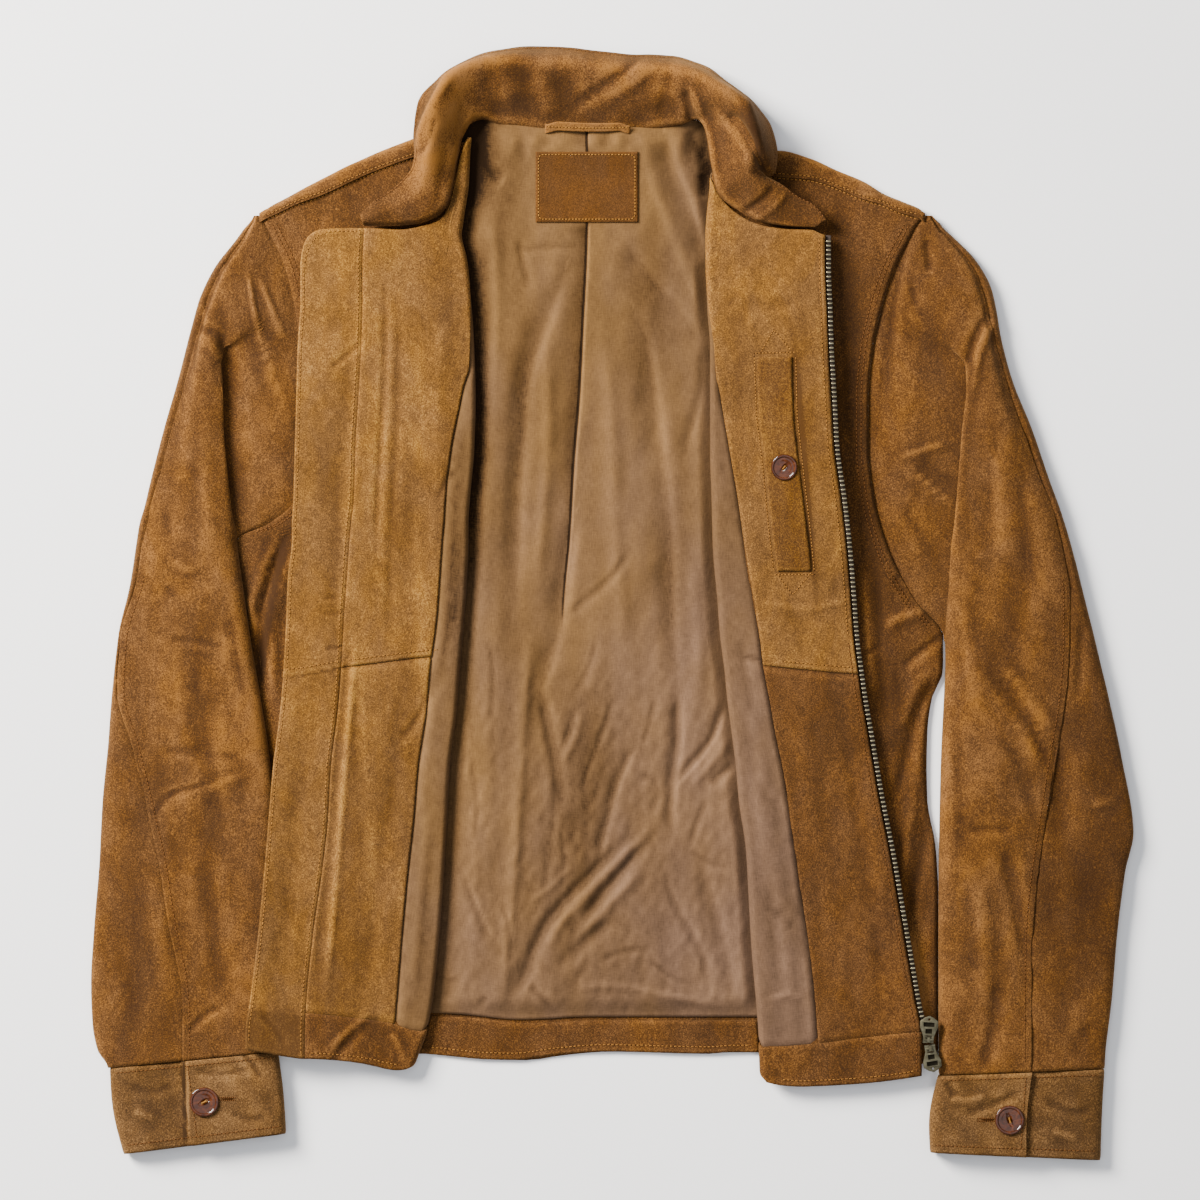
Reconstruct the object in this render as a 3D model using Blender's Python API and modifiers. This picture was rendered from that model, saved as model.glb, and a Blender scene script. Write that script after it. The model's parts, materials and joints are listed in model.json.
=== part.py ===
"""Suede jacket laid on its back, both fronts turned out so that their insides show.

Lengths are millimetres and become metres when a mesh is made. X runs across the chest, +Y points to
the collar and +Z is up from the surface it lies on. "left" is the -X side and "right" the +X side.
Every cloth panel is an open grid of points worked out from section tables, closed by Solidify.
"""
import math

import bmesh
import bpy
import numpy as np

MM = 0.001
MERGE = 0.00001
SUEDE = 1.4
LINING = 0.9
GAP = 0.3
FLOOR_MID = SUEDE / 2
FOLD_R = 2.3
FRONT_BASE = 4.8
ON_FACING = SUEDE + GAP
ON_LINING = (SUEDE + LINING) / 2 + GAP + 0.15
FACING_TOP = SUEDE * 1.5 + GAP
FOLD_COVER = FOLD_R + SUEDE / 2 + GAP + LINING
TUCK = 0.86
SIDE_Q = 0.004
SEAM_HALF = 0.35
EDGE_Q = 2.996
FLAP_T = 2.4
FLAP_START = 0.016
CUFF_T = 2.0
CUFF_LAP_GAP = 0.9
LINING_MID = SUEDE + GAP + LINING / 2
# lengthwise stations that neighbouring panels share, and the widest step beyond them
STATIONS = (-225, -158, -104, -62, -42, -22, -4, 20, 46, 60, 84, 122, 162, 202, 236, 252)
STEP = 22

# fronts, one row a station along the length: y, edge, fly, facing, fold, side, z_fly, z_edge, z_side
FRONT_RIGHT = (
    (330, 157, 149, 66, 64, 221, 14.5, 14.5, 8),
    (296, 157, 149, 70, 69, 221, 14.5, 14.5, 8),
    (275, 157, 149, 67, 67, 221, 15, 15, 8),
    (268, 157, 149, 66.5, 66.5, 214.6, 15, 15, 8),
    (259, 157, 149, 66, 66, 209.5, 15.5, 15.5, 8),
    (236, 157, 149, 66, 66, 198, 17, 17, 8),
    (208, 158, 150, 67, 67, 189, 17.5, 17.5, 7.6),
    (180, 159, 151, 70, 69, 183, 17.5, 17.5, 7.2),
    (145, 161, 153, 76, 69, 180, 18, 18, 7),
    (110, 163, 155, 82, 69, 180, 18, 18, 7),
    (75, 168, 160, 88, 70, 184, 17, 17, 6.6),
    (40, 172, 164, 93, 71, 194, 15, 15, 6),
    (5, 175, 167, 99, 74, 212, 12, 12, 4.6),
    (-21, 177, 169, 103, 76, 232, 10.6, 10.6, 3),
    (-44, 180, 172, 106, 79, 232, 10, 10, 2.5),
    (-65, 183, 175, 110, 81, 224, 9.6, 9.6, 2.5),
    (-88, 187, 179, 114, 84, 221, 9.4, 9.4, 2.5),
    (-112, 191, 183, 119, 87, 220.5, 9.4, 9.4, 2.5),
    (-135, 195, 187, 123, 89, 221, 9.4, 9.4, 2.5),
    (-170, 202, 194, 128, 94, 227, 9.4, 9.4, 2.5),
    (-205, 208, 200, 133, 96, 228.5, 9.4, 9.4, 2.5),
    (-240, 214, 206, 138, 98, 228.5, 9.4, 9.4, 2.5),
    (-275, 220, 212, 142, 101, 228.5, 9.4, 9.4, 2.5),
    (-303, 225, 217, 144, 103, 228.5, 9.4, 9.4, 2.5),
    (-335, 225, 217, 146, 104, 228.5, 9.4, 9.4, 2.5),
)
FRONT_LEFT = (
    (340, -217, -173, -106, -97, -247, 13, 13, 8),
    (318, -217, -173, -106, -99, -247, 13, 13, 8),
    (296, -217, -173, -106, -100, -247, 13, 13, 8),
    (275, -217, -173, -106, -103, -247, 13.5, 13.5, 8),
    (268, -217, -173, -106, -104, -243, 13.8, 13.8, 8),
    (260, -217, -173, -106, -105, -239, 14, 14, 8),
    (241, -217, -174, -102, -101, -230, 14, 14, 8),
    (215, -217, -174, -99, -98, -223, 13.5, 13.5, 7.8),
    (180, -219, -175, -99, -96, -218, 13, 13, 7.2),
    (145, -220, -177, -105, -95, -217, 13, 13, 6.8),
    (110, -221, -179, -112, -96, -218, 13, 13, 6.4),
    (75, -222, -180, -116, -99, -222, 13, 12.5, 5.8),
    (58, -223, -182, -117, -100, -240, 13, 12.5, 5),
    (47, -223, -183, -118, -100, -259.6, 13, 12.5, 3.6),
    (19, -226, -185, -120, -101, -257.8, 13, 12.5, 2.5),
    (-9, -227, -187, -122, -103, -253.8, 13, 12.5, 2.5),
    (-46, -229, -189, -127, -106, -247.8, 13, 13.5, 2.5),
    (-71, -231, -191, -129, -108, -243.7, 13, 15, 2.5),
    (-112, -236, -196, -135, -113, -237.7, 13.5, 17, 2.5),
    (-148, -239, -198, -138, -115, -234.1, 14, 18, 2.5),
    (-184, -242, -202, -142, -117, -232.5, 14.5, 18.4, 2.5),
    (-226, -246, -208, -146, -120, -231.4, 15, 18.6, 2.5),
    (-275, -252, -213, -150, -125, -231.4, 15.5, 18.6, 2.5),
    (-297, -255, -214, -152, -129.5, -231.4, 15.5, 18.4, 2.5),
    (-315, -255, -214, -155, -136, -231.4, 15.5, 18.4, 2.5),
    (-327, -255, -214, -157, -140, -231.4, 15.5, 18.4, 2.5),
)
# ends of each front along its length: place round it (0 side seam, 1 and 2 the fold, 3 the fly seam),
# top, bottom
ENDS_RIGHT = (
    (0.0, 273, -320),
    (0.14, 279, -320),
    (0.25, 285.5, -320),
    (0.37, 292.5, -320),
    (0.5, 300, -320),
    (0.66, 303, -320),
    (1.0, 305, -320.5),
    (1.5, 300, -326),
    (2.0, 290, -332.5),
    (2.08, 283, -334.5),
    (2.22, 274, -335.5),
    (2.36, 268, -335),
    (2.53, 264.5, -334),
    (2.7, 263, -332.5),
    (2.88, 262.5, -330),
    (3.0, 259, -328),
)
ENDS_LEFT = (
    (0.0, 273, -312),
    (0.16, 282, -312),
    (0.5, 303, -312),
    (0.8, 317, -312),
    (1.0, 325, -314),
    (1.5, 328, -319),
    (2.0, 322, -323.4),
    (2.06, 300, -324),
    (2.1, 280, -324),
    (2.2, 269.5, -323),
    (2.38, 265.5, -320),
    (2.6, 263, -317.5),
    (3.0, 264, -315.5),
)
# the storm flap's ends, by place across it from the fly seam to its free edge
FLAP_ENDS = (
    (0.0, 264, -315.5),
    (0.3, 264, -314),
    (0.7, 263, -311),
    (0.88, 258, -310),
    (0.97, 249, -309),
    (1.0, 240, -307.6),
)
# seams that cross the fronts: place round the front, then the seam's y there
HEM_SEAM_LEFT = (
    (0.9, -292), (1.5, -294), (2.0, -296), (2.3, -290), (2.6, -286.5), (3.0, -283), (4.0, -277.6),
)
HEM_SEAM_RIGHT = (
    (0.9, -302), (1.5, -305), (2.0, -307), (2.35, -304.5), (2.6, -301), (3.0, -297), (4.0, -297),
)
YOKE_SEAM_LEFT = ((2.0, -33), (3.0, -41), (4.0, -47))
YOKE_SEAM_RIGHT = ((2.0, -38), (2.5, -42), (3.0, -45.5), (4.0, -46))

# sleeves, one row a station: outer edge, hind seam, inner fold, armhole seam, depth of the tuck under
# the inner fold, then heights; tube is 0 where the sleeve is open to the armhole and 1 where it is closed
SLEEVE_COLUMNS = (
    "y", "out", "hind", "ridge", "arm", "tuck", "z_arm", "z_wing", "z_ridge", "z_crown", "z_hind", "tube",
)
SLEEVE_RIGHT = (
    (273, 224.6, 222.6, 221, 219, -1, 8, 8.1, 8.3, 8.3, 7.4, 0),
    (268, 229.4, 226.2, 223, 215, -2, 8, 8.2, 8.6, 8.6, 7.4, 0),
    (264, 232.5, 229, 225, 212, -3, 8, 8.5, 9, 9, 7.5, 0),
    (257, 240, 236, 229, 207, -3, 8, 9, 10, 10, 8, 0),
    (240, 256, 250, 236, 198, -3, 8, 9.5, 12, 12.5, 9, 0),
    (222, 265.7, 259, 241, 194, -2, 7.9, 9.5, 12.6, 13.6, 9.6, 0),
    (208, 269, 263, 244, 191, -2, 7.8, 9.5, 13, 14, 10, 0),
    (190, 272, 266, 248, 186, 2, 7.4, 9, 13.5, 15, 10, 0),
    (159, 280, 275, 248, 181, 4, 7, 8.6, 14, 16, 10.5, 0),
    (124, 294, 287, 245, 180, 5, 7, 8.4, 14, 16, 10.5, 0),
    (89, 306, 300, 242, 182, 6, 6.8, 8.2, 14, 16, 10.5, 0),
    (61, 316, 310, 240, 187, 6, 6.4, 7.8, 14, 16, 10.5, 0),
    (33, 324, 317, 237, 196, 4, 5.8, 7, 13, 16, 11, 0),
    (5, 331, 320, 236, 212, 0, 4.6, 6, 11, 16, 12, 0),
    (-23, 338, 320, 234.5, 233, -1, 3, 4, 9, 16, 13, 0.15),
    (-44, 343, 319, 234, 240, -1, 2, 3, 8.6, 15.6, 13.4, 1),
    (-65, 348, 317, 233, 240, -1, 2, 3, 8.6, 15.2, 14, 1),
    (-107, 357, 310, 231, 240, -1, 2, 3, 8.6, 15, 14, 1),
    (-158, 365, 302, 229.8, 240, -1, 2, 3, 8.6, 15, 14, 1),
    (-184, 359.5, 298, 229.4, 240, -1, 2, 3, 8.6, 15, 14, 1),
    (-226, 354, 294, 229.2, 240, -1, 2, 3, 8.6, 14.6, 14, 1),
    (-275, 350, 293, 229.2, 240, -1, 2, 3, 8.6, 14.4, 14, 1),
    (-325, 345, 293, 229.4, 240, -1, 2, 3, 9, 14.2, 14, 1),
)
SLEEVE_LEFT = (
    (273, -250.4, -248.8, -247.6, -246, -1, 8, 8.1, 8.3, 8.3, 7.4, 0),
    (268, -253.4, -250.4, -248, -243, -1, 8, 8.2, 8.6, 8.6, 7.4, 0),
    (264, -257, -253, -249, -241, -2, 8, 8.3, 9, 9, 7.5, 0),
    (257, -262, -257, -250, -237, -2, 8, 8.6, 10, 10, 8, 0),
    (236, -278, -272, -260, -228, -2, 8, 9, 12, 12.5, 9, 0),
    (215, -288, -282, -270, -223, -2, 7.8, 9, 13, 14, 10, 0),
    (194, -294, -288, -276, -219, 0, 7.4, 9, 13, 15, 10, 0),
    (159, -303, -297, -271, -217, 3, 7, 8.6, 13.5, 15.6, 10.5, 0),
    (124, -313, -307, -270, -217, 4, 6.6, 8.2, 13.5, 15.6, 10.5, 0),
    (89, -322, -316, -267, -219, 4, 6, 7.4, 13, 15.6, 10.5, 0),
    (68, -327, -322, -265, -226, 2, 5.6, 6.6, 12, 15.6, 10.5, 0),
    (58, -330, -324, -264, -240, 0, 5, 5.6, 11, 15.6, 10.5, 0),
    (46, -332, -327, -263, -258, -1, 3.4, 4, 9, 15.6, 10.5, 0.15),
    (19, -336, -331, -259, -262, -1, 2, 3, 8.6, 15, 11, 1),
    (-23, -345, -343, -253, -262, -1, 2, 3, 8.6, 14.6, 11, 1),
    (-58, -349, -345, -247, -262, -1, 2, 3, 8.6, 14, 11, 1),
    (-96, -352, -335, -241, -262, -1, 2, 3, 8.2, 13.6, 12, 1),
    (-137, -356, -325, -236, -262, -1, 2, 3, 8, 13.4, 13, 1),
    (-177, -358, -316, -234, -262, -1, 2, 3, 8, 13.4, 13.2, 1),
    (-226, -362, -308, -233, -262, -1, 2, 3, 8, 13.4, 13.4, 1),
    (-260, -364, -301, -233, -262, -1, 2, 3, 8, 13.4, 13.4, 1),
    (-285, -363, -299, -233, -262, -1, 2, 3, 8, 13.4, 13.4, 1),
    (-303, -359.5, -299, -233, -262, -1, 2, 3, 8, 13.4, 13.4, 1),
    (-316, -352.5, -299, -233, -262, -1, 2, 3, 8, 13.4, 13.4, 1),
)
SLEEVE_TOP = 273
SLEEVE_STOP = {"left": -316.3, "right": -324.9}

# cuffs: corners as top inner, top outer, bottom outer, bottom inner,
# then the overlap edge from the inner side
CUFF_RIGHT = ((227.9, -327.6), (344.8, -323.3), (342.0, -386.8), (222.3, -381.2), 0.56)
CUFF_LEFT = ((-232.8, -310.8), (-351.0, -322.7), (-341.3, -382.6), (-227.2, -367.9), 0.57)
CUFF_TOP = 14.2
CUFF_STEPS = 30

# collar, one row a section from the left tip round the neck to the right tip: seam, crest and free edge
COLLAR = (
    (-173, 265.2, 15.4, -174, 269, 18, -175, 273, 17),
    (-155, 265.2, 15.4, -158, 275, 19, -164, 283, 17),
    (-138, 266.2, 15.4, -144, 281, 20, -154, 289, 17),
    (-123, 271, 15.5, -134, 288, 20.5, -144, 298, 17),
    (-114, 280, 15, -129, 300, 22.5, -138, 306, 16),
    (-110, 295, 14, -127, 314, 25, -136, 317, 16),
    (-107, 311, 13, -126, 328, 27, -137, 331, 15),
    (-104, 327, 12, -121, 349, 27.5, -134, 350, 14),
    (-98, 337, 10, -112, 366, 26, -123, 365, 13),
    (-89, 340, 8, -98, 374, 24, -105, 378, 11),
    (-75, 336, 6, -77, 377, 21, -79, 387, 9),
    (-47, 332.2, 5.8, -46, 376, 20, -46, 390, 8),
    (-15, 331.2, 5.8, -14, 373, 19, -14, 387, 8),
    (14, 332.2, 5.8, 16, 371, 20, 16, 384, 8),
    (35, 334, 8, 42, 371, 23, 42, 383, 9),
    (48, 336, 9, 61, 366, 28, 63, 376, 11),
    (55, 339, 10, 74, 360, 32, 83, 363, 12),
    (59, 340, 11, 86, 352, 34, 100, 348, 13),
    (62, 338, 12, 95, 338, 34, 110, 334, 14),
    (65, 332, 14, 99, 322, 33, 114, 316, 15),
    (67, 322, 15, 98, 314, 33, 113, 303, 18),
    (69, 308, 16, 94, 308, 32, 107, 298, 21),
    (72, 293, 16, 94, 302, 30, 109, 297, 22),
    (77, 284, 16, 102, 291, 26, 119, 292, 21),
    (89, 276, 16, 112, 282, 22, 130, 285, 19),
    (103, 268.8, 15.6, 124, 276, 20, 140, 280, 18),
    (121, 265.4, 16.4, 136, 270, 19, 146, 274, 18),
    (139, 264.6, 16.4, 145, 267, 19, 149, 269, 18),
)

# back: how far up and down the back panel and its lining run, by place across the body from 0 to 1
BACK_ENDS = (
    (0.0, 266, -313),
    (0.05, 272, -313),
    (0.1, 283, -313),
    (0.16, 297.6, -313),
    (0.235, 312, -313),
    (0.3, 322, -315.5),
    (0.335, 330, -317),
    (0.375, 329.5, -317.5),
    (0.43, 329, -314),
    (0.5, 328, -311.5),
    (0.65, 330, -313),
    (0.68, 302, -312),
    (0.8, 297.5, -312),
    (0.88, 285.3, -312),
    (0.95, 272, -312),
    (1.0, 266, -312),
)
LINING_ENDS = (
    (0.0, 322, -284),
    (0.12, 335, -285),
    (0.3, 331.5, -289),
    (0.5, 329.5, -287),
    (0.7, 331.5, -287),
    (0.88, 331, -287),
    (1.0, 300, -287),
)
BACK_HEM_TOP = ((0.0, -286), (0.12, -287), (0.3, -291), (0.5, -289), (0.7, -289), (1.0, -289))
# part of the back's width that the hem's turn spans between the folds, and the lining's grid
HEM_SPAN = (0.24, 0.72)
LINING_TUCK = 13
LINING_COLUMNS = 17
LINING_ROWS = 22
# folds of the back lining: x and y of both ends, half width, height, all fading at the ends
LINING_FOLDS = (
    (-22, 264, -28, 45, 5, 2.2),
    (-62, 120, -68, -210, 12, 3.0),
    (8, 210, 36, 10, 14, 3.2),
    (36, 0, 40, -150, 12, 3.0),
    (-50, -60, -30, -170, 9, 2.6),
    (18, -170, -40, -235, 10, 2.6),
    (45, -140, 10, -210, 9, 2.2),
    (-80, -190, -50, -260, 9, 2.4),
    (10, 40, -30, -5, 10, 2.4),
    (60, 320, 40, 250, 10, 2.6),
    (-76, 300, -60, 230, 10, 2.4),
)

# shoulder yokes from the neck out to the armhole: x, the shoulder's fold line, front seam, back seam
YOKE_RIGHT = (
    (72, 319, 308, 304),
    (118, 318, 304, 300),
    (139, 312.5, 302, 296),
    (158, 304, 296, 289),
    (175, 297, 288.5, 282),
    (189, 288.5, 284.5, 277),
    (203, 282.5, 278.5, 271),
    (214, 278.3, 275.2, 268),
    (216.6, 277, 274.4, 271.5),
)
YOKE_LEFT = (
    (-243.6, 276.6, 274.2, 271.5),
    (-236, 280.5, 277, 270),
    (-218, 290, 285.5, 275),
    (-205, 297, 290, 282),
    (-170, 314, 306, 300),
    (-135, 328, 319, 313),
    (-108, 338, 327, 323),
)
YOKE_R = 3.4
YOKE_SEAM_ALLOWANCE = 1.8
YOKE_FLAT = 6
YOKE_ACROSS = 9
YOKE_ROUND = 11

# the collar's two layers stand this far either side of its middle surface
COLLAR_HALF = SUEDE / 2 + 2 * GAP
COLLAR_ALONG = 38
COLLAR_ACROSS = 7

# places across each strip of the fronts, from 0 to 1 or round the fold
FRONT_PLACES = (SIDE_Q, 0.14, 0.36, 0.6, 0.86, 1.04, 1.25, 1.5, 1.75, 1.96, 2.1, 2.25, 2.5, EDGE_Q)
STRIP_PLACES = (0, 0.1, 0.2, 0.31, 0.42, 0.54, 0.68, 0.84, 1)
FACING_PLACES = (0, 0.1, 0.2, 0.3, 0.4, 0.55, 0.8, 1)
LOWER_PLACES = (0, 0.25, 0.5, 0.75, 1)
HEM_PLACES = (TUCK, 1, 1.2, 1.4, 1.6, 1.8, 2, 2.1, 2.25, 2.5, EDGE_Q)
FLAP_PLACES = (0, 0.4, 0.7, 0.88, 0.97, 1)

# zip, by place beyond the fly seam: tape and chain of each front, their thickness and offset from the front
ZIP_STRIPS = {
    "zip_tape_left": ("left", 3.03, 3.16, 262, -290, 0.9, -0.9, "tape"),
    "zip_chain_left": ("left", 3.18, 3.26, 262, -290, 2.0, -1.5, "metal"),
    "zip_tape_right": ("right", 3.05, 3.5, 259, -294, 0.8, -0.35, "tape"),
    "zip_chain_right": ("right", 3.08, 3.5, 259, -294, 2.0, 1.4, "metal"),
}

# inner pocket's welt: y, near edge and far edge; then the trims laid on panels
WELT = ((174, 102, 126), (133, 103.5, 127), (97, 108, 131), (55, 112, 136), (25, 115.5, 139))
WELT_T = 1.2
LABEL_X = (-53, 18.5)
LABEL_Y = (268.5, 317.5)
LABEL_T = 1.0
LOOP_ALONG = (11.02, 12.95)
LOOP_ACROSS = (0.12, 0.155, 0.19)
LOOP_T = 1.2
LOOP_RISE = 1.4

# buttons: x, y and radius; the profile is turned, its radii as parts of the button's, heights in millimetres
POCKET_BUTTON = (120.3, 97.0, 9.1)
CUFF_BUTTONS = {"left": (-284.1, -345.5, 10.2), "right": (277.6, -358.1, 10.2)}
BUTTON_PROFILE = (
    (0, 1.6), (0.2, 1.6), (0.6, 1.7), (0.74, 2.2), (0.9, 2.5), (1, 1.6), (0.97, 0.7), (0.82, 0), (0, 0),
)
BUTTON_STEPS = 20

# two sliders back to back: place of the tab's pivot, turn in plan
PULLS = {
    "upper": ((221.0, -302.2), math.radians(-2.6)),
    "lower": ((222.2, -308.2), math.radians(188.4)),
}
SLIDER_TOP = 13.0
SLIDER_LOW = 8.6
PIVOT_UP = 1.3
TUNNEL = 1.35
TUNNEL_UP = 2.5
FOOT = 0.9
FOOT_DOWN = 0.2
ARCH_TOP = 3.4
ARCH_WIDE = 1.8
ARCH_CUT = 0.5
PULL_T = 1.4
SLIDER_OUTLINE = ((-3.7, -2.4), (3.7, -2.4), (3.7, 1.5), (2.2, 2.4), (-2.2, 2.4), (-3.7, 1.5))
TAB_HALF = ((3.6, -0.7), (3.8, 2.2), (6.3, 9), (6.3, 13), (3.2, 15.4))
TAB_TIP = (0, 16.6)
WINDOW_OUTLINE = ((-1.7, 0.7), (1.7, 0.7), (1.7, 4.6), (-1.7, 4.6))

COLOURS = {
    "suede": ("8A5A2B", 0.95, 0.0),
    "facing": ("A0763C", 0.95, 0.0),
    "lining": ("8A6748", 0.9, 0.0),
    "tape": ("3B2A1C", 0.9, 0.0),
    "button": ("6B3A22", 0.3, 0.0),
    "metal": ("8A7F65", 0.4, 1.0),
}


def clear_scene():
    for item in list(bpy.data.objects):
        bpy.data.objects.remove(item, do_unlink=True)
    group = bpy.data.collections.new("suede_jacket")
    bpy.context.scene.collection.children.link(group)
    return group


def material(kind):
    """Plain Principled material of one of the jacket's stuffs."""
    if kind in bpy.data.materials:
        return bpy.data.materials[kind]
    code, rough, metal = COLOURS[kind]
    rgb = [int(code[i:i + 2], 16) / 255 for i in (0, 2, 4)]
    linear = [c / 12.92 if c <= 0.04045 else ((c + 0.055) / 1.055) ** 2.4 for c in rgb]
    made = bpy.data.materials.new(kind)
    made.use_nodes = True
    shader = made.node_tree.nodes["Principled BSDF"]
    shader.inputs["Base Color"].default_value = (*linear, 1)
    shader.inputs["Roughness"].default_value = rough
    shader.inputs["Metallic"].default_value = metal
    made.diffuse_color = (*linear, 1)
    return made


def smooth(rows, at, key=0, value=1):
    """Monotone cubic through the table's stations, flat beyond its ends."""
    data = sorted((row[key], row[value]) for row in rows)
    x = np.array([d[0] for d in data], float)
    v = np.array([d[1] for d in data], float)
    step = np.diff(x)
    slope = np.diff(v) / step
    tangent = np.zeros(len(x))
    for i in range(1, len(x) - 1):
        if slope[i - 1] * slope[i] > 0:
            w1 = 2 * step[i] + step[i - 1]
            w2 = step[i] + 2 * step[i - 1]
            tangent[i] = (w1 + w2) / (w1 / slope[i - 1] + w2 / slope[i])
    at = np.clip(np.asarray(at, float), x[0], x[-1])
    i = np.clip(np.searchsorted(x, at) - 1, 0, len(x) - 2)
    t = (at - x[i]) / step[i]
    a = (1 + 2 * t) * (1 - t) ** 2 * v[i] + t * (1 - t) ** 2 * step[i] * tangent[i]
    return a + t * t * (3 - 2 * t) * v[i + 1] + t * t * (t - 1) * step[i] * tangent[i + 1]


def stations(tops, bottoms, up=0):
    """Lengths of every column of a panel: the shared stations, then even steps out to its own two ends."""
    shared = [v for v in STATIONS if max(bottoms) + 6 < v < min(tops) - 6]
    if not shared:
        return [np.linspace(b, t, 4) for t, b in zip(tops, bottoms)]
    up = up or int(math.ceil((max(tops) - shared[-1]) / STEP)) + 1
    down = int(math.ceil((shared[0] - min(bottoms)) / STEP / 1.6)) + 1
    columns = []
    for t, b in zip(tops, bottoms):
        below = np.linspace(b, shared[0], down)[:-1]
        above = np.linspace(shared[-1], t, up)[1:]
        columns.append(np.concatenate([below, shared, above]))
    return columns


def ease(t):
    t = np.clip(t, 0, 1)
    return t * t * (3 - 2 * t)


def spline(points, s):
    """Cubic B-spline that starts and ends on the ends of its control polygon."""
    p = np.array([points[0]] * 2 + list(points) + [points[-1]] * 2, float)
    spans = len(p) - 3
    u = np.clip(np.asarray(s, float), 0, 1) * spans
    i = np.minimum(u.astype(int), spans - 1)
    f = (u - i)[:, None]
    a = (1 - f) ** 3 * p[i] + (3 * f ** 3 - 6 * f ** 2 + 4) * p[i + 1]
    return (a + (-3 * f ** 3 + 3 * f ** 2 + 3 * f + 1) * p[i + 2] + f ** 3 * p[i + 3]) / 6


def normals(grid):
    """Unit normals of a grid of points, turned so that they mostly agree with the grid's own winding."""
    along = np.gradient(grid, axis=0)
    across = np.gradient(grid, axis=1)
    n = np.cross(across, along)
    return n / np.maximum(np.linalg.norm(n, axis=2, keepdims=True), 1e-9)


def wall(group, name, grid, thick, kind):
    """Closed wall of one thickness on an open grid of points."""
    rows, columns = grid.shape[:2]
    faces = []
    for r in range(rows - 1):
        for c in range(columns - 1):
            i = r * columns + c
            faces.append((i, i + 1, i + columns + 1, i + columns))
    mesh = bpy.data.meshes.new(name)
    mesh.from_pydata((grid.reshape(-1, 3) * MM).tolist(), [], faces)
    item = bpy.data.objects.new(name, mesh)
    group.objects.link(item)
    mesh.materials.append(material(kind))
    solid = item.modifiers.new("wall", "SOLIDIFY")
    solid.thickness = thick * MM
    solid.offset = 0
    solid.use_quality_normals = True
    return item


def turned(group, name, profile, centre, kind, tilt=0.0):
    """Round solid turned about its own axis from a profile of radius and height pairs, top to bottom."""
    verts = [(radius * MM, 0, height * MM) for radius, height in profile]
    edges = [(i, i + 1) for i in range(len(verts) - 1)]
    mesh = bpy.data.meshes.new(name)
    mesh.from_pydata(verts, edges, [])
    mesh.materials.append(material(kind))
    item = bpy.data.objects.new(name, mesh)
    group.objects.link(item)
    item.location = [c * MM for c in centre]
    item.rotation_euler = (0, -tilt, 0)
    turn = item.modifiers.new("turn", "SCREW")
    turn.steps = BUTTON_STEPS
    turn.render_steps = BUTTON_STEPS
    turn.use_merge_vertices = True
    turn.merge_threshold = MERGE
    return item


def plate(group, name, outline, thick, kind):
    """Flat plate cut to a closed outline, its middle plane through its own origin."""
    curve = bpy.data.curves.new(name, "CURVE")
    curve.dimensions = "2D"
    curve.fill_mode = "BOTH"
    curve.extrude = thick / 2 * MM
    line = curve.splines.new("POLY")
    line.points.add(len(outline) - 1)
    line.use_cyclic_u = True
    for point, (x, y) in zip(line.points, outline):
        point.co = (x * MM, y * MM, 0, 1)
    drawn = bpy.data.objects.new(name + "_outline", curve)
    group.objects.link(drawn)
    seen = drawn.evaluated_get(bpy.context.evaluated_depsgraph_get())
    mesh = bpy.data.meshes.new_from_object(seen)
    bpy.data.objects.remove(drawn)
    work = bmesh.new()
    work.from_mesh(mesh)
    bmesh.ops.remove_doubles(work, verts=work.verts, dist=MERGE)
    work.to_mesh(mesh)
    work.free()
    mesh.materials.clear()
    mesh.materials.append(material(kind))
    item = bpy.data.objects.new(name, mesh)
    group.objects.link(item)
    return item


def fit(item, tool, operation):
    """Join a hidden shape to an object, or cut it out."""
    tool.hide_render = True
    tool.display_type = "WIRE"
    step = item.modifiers.new(tool.name, "BOOLEAN")
    step.operation = operation
    step.solver = "EXACT"
    step.object = tool


def front_point(side, q, y):
    """Middle of a front panel: q 0 to 1 under the fold, 1 to 2 round it, 2 to 3 on top,
    3 to 4 the turned edge."""
    rows = FRONT_RIGHT if side == "right" else FRONT_LEFT
    out = 1 if side == "right" else -1
    q, y = np.broadcast_arrays(np.asarray(q, float), np.asarray(y, float))
    edge, fly, fold, seam = (smooth(rows, y, 0, k) for k in (1, 2, 4, 5))
    z_fly, z_edge, z_side = (smooth(rows, y, 0, k) for k in (6, 7, 8))
    centre = fold + out * FOLD_COVER
    low = np.clip(q, 0, 1)
    turn = np.clip(q - 1, 0, 1) * math.pi
    top = np.clip(q - 2, 0, 1)
    flap = np.clip(q - 3, 0, 1)
    puff = 2.4 * np.sin(math.pi * low) * ease((y + 250) / 120) * ease((290 - y) / 60)
    z_low = z_side + (FRONT_BASE - z_side) * ease(low) + puff
    x = np.where(q < 1, seam + (centre - seam) * low, centre - out * FOLD_R * np.sin(turn))
    z = np.where(q < 1, z_low, FRONT_BASE + FOLD_R - FOLD_R * np.cos(turn))
    z_top = FRONT_BASE + 2 * FOLD_R
    x = np.where(q > 2, centre + (fly - centre) * top, x)
    z = np.where(q > 2, z_top + (z_fly - z_top) * ease(top), z)
    x = np.where(q > 3, fly + (edge - fly) * flap, x)
    z = np.where(q > 3, z_fly + (z_edge - z_fly) * ease(flap), z)
    return np.stack([x, y, z], axis=-1)


def front_normal(side, q, y):
    """Direction out of the garment's inner face, which is up on the turned part."""
    e = 0.004
    n = np.cross(front_point(side, q + e, y) - front_point(side, q - e, y),
                 front_point(side, q, y + 1.0) - front_point(side, q, y - 1.0))
    n = n / np.linalg.norm(n, axis=-1, keepdims=True)
    return n if side == "right" else -n


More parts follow.
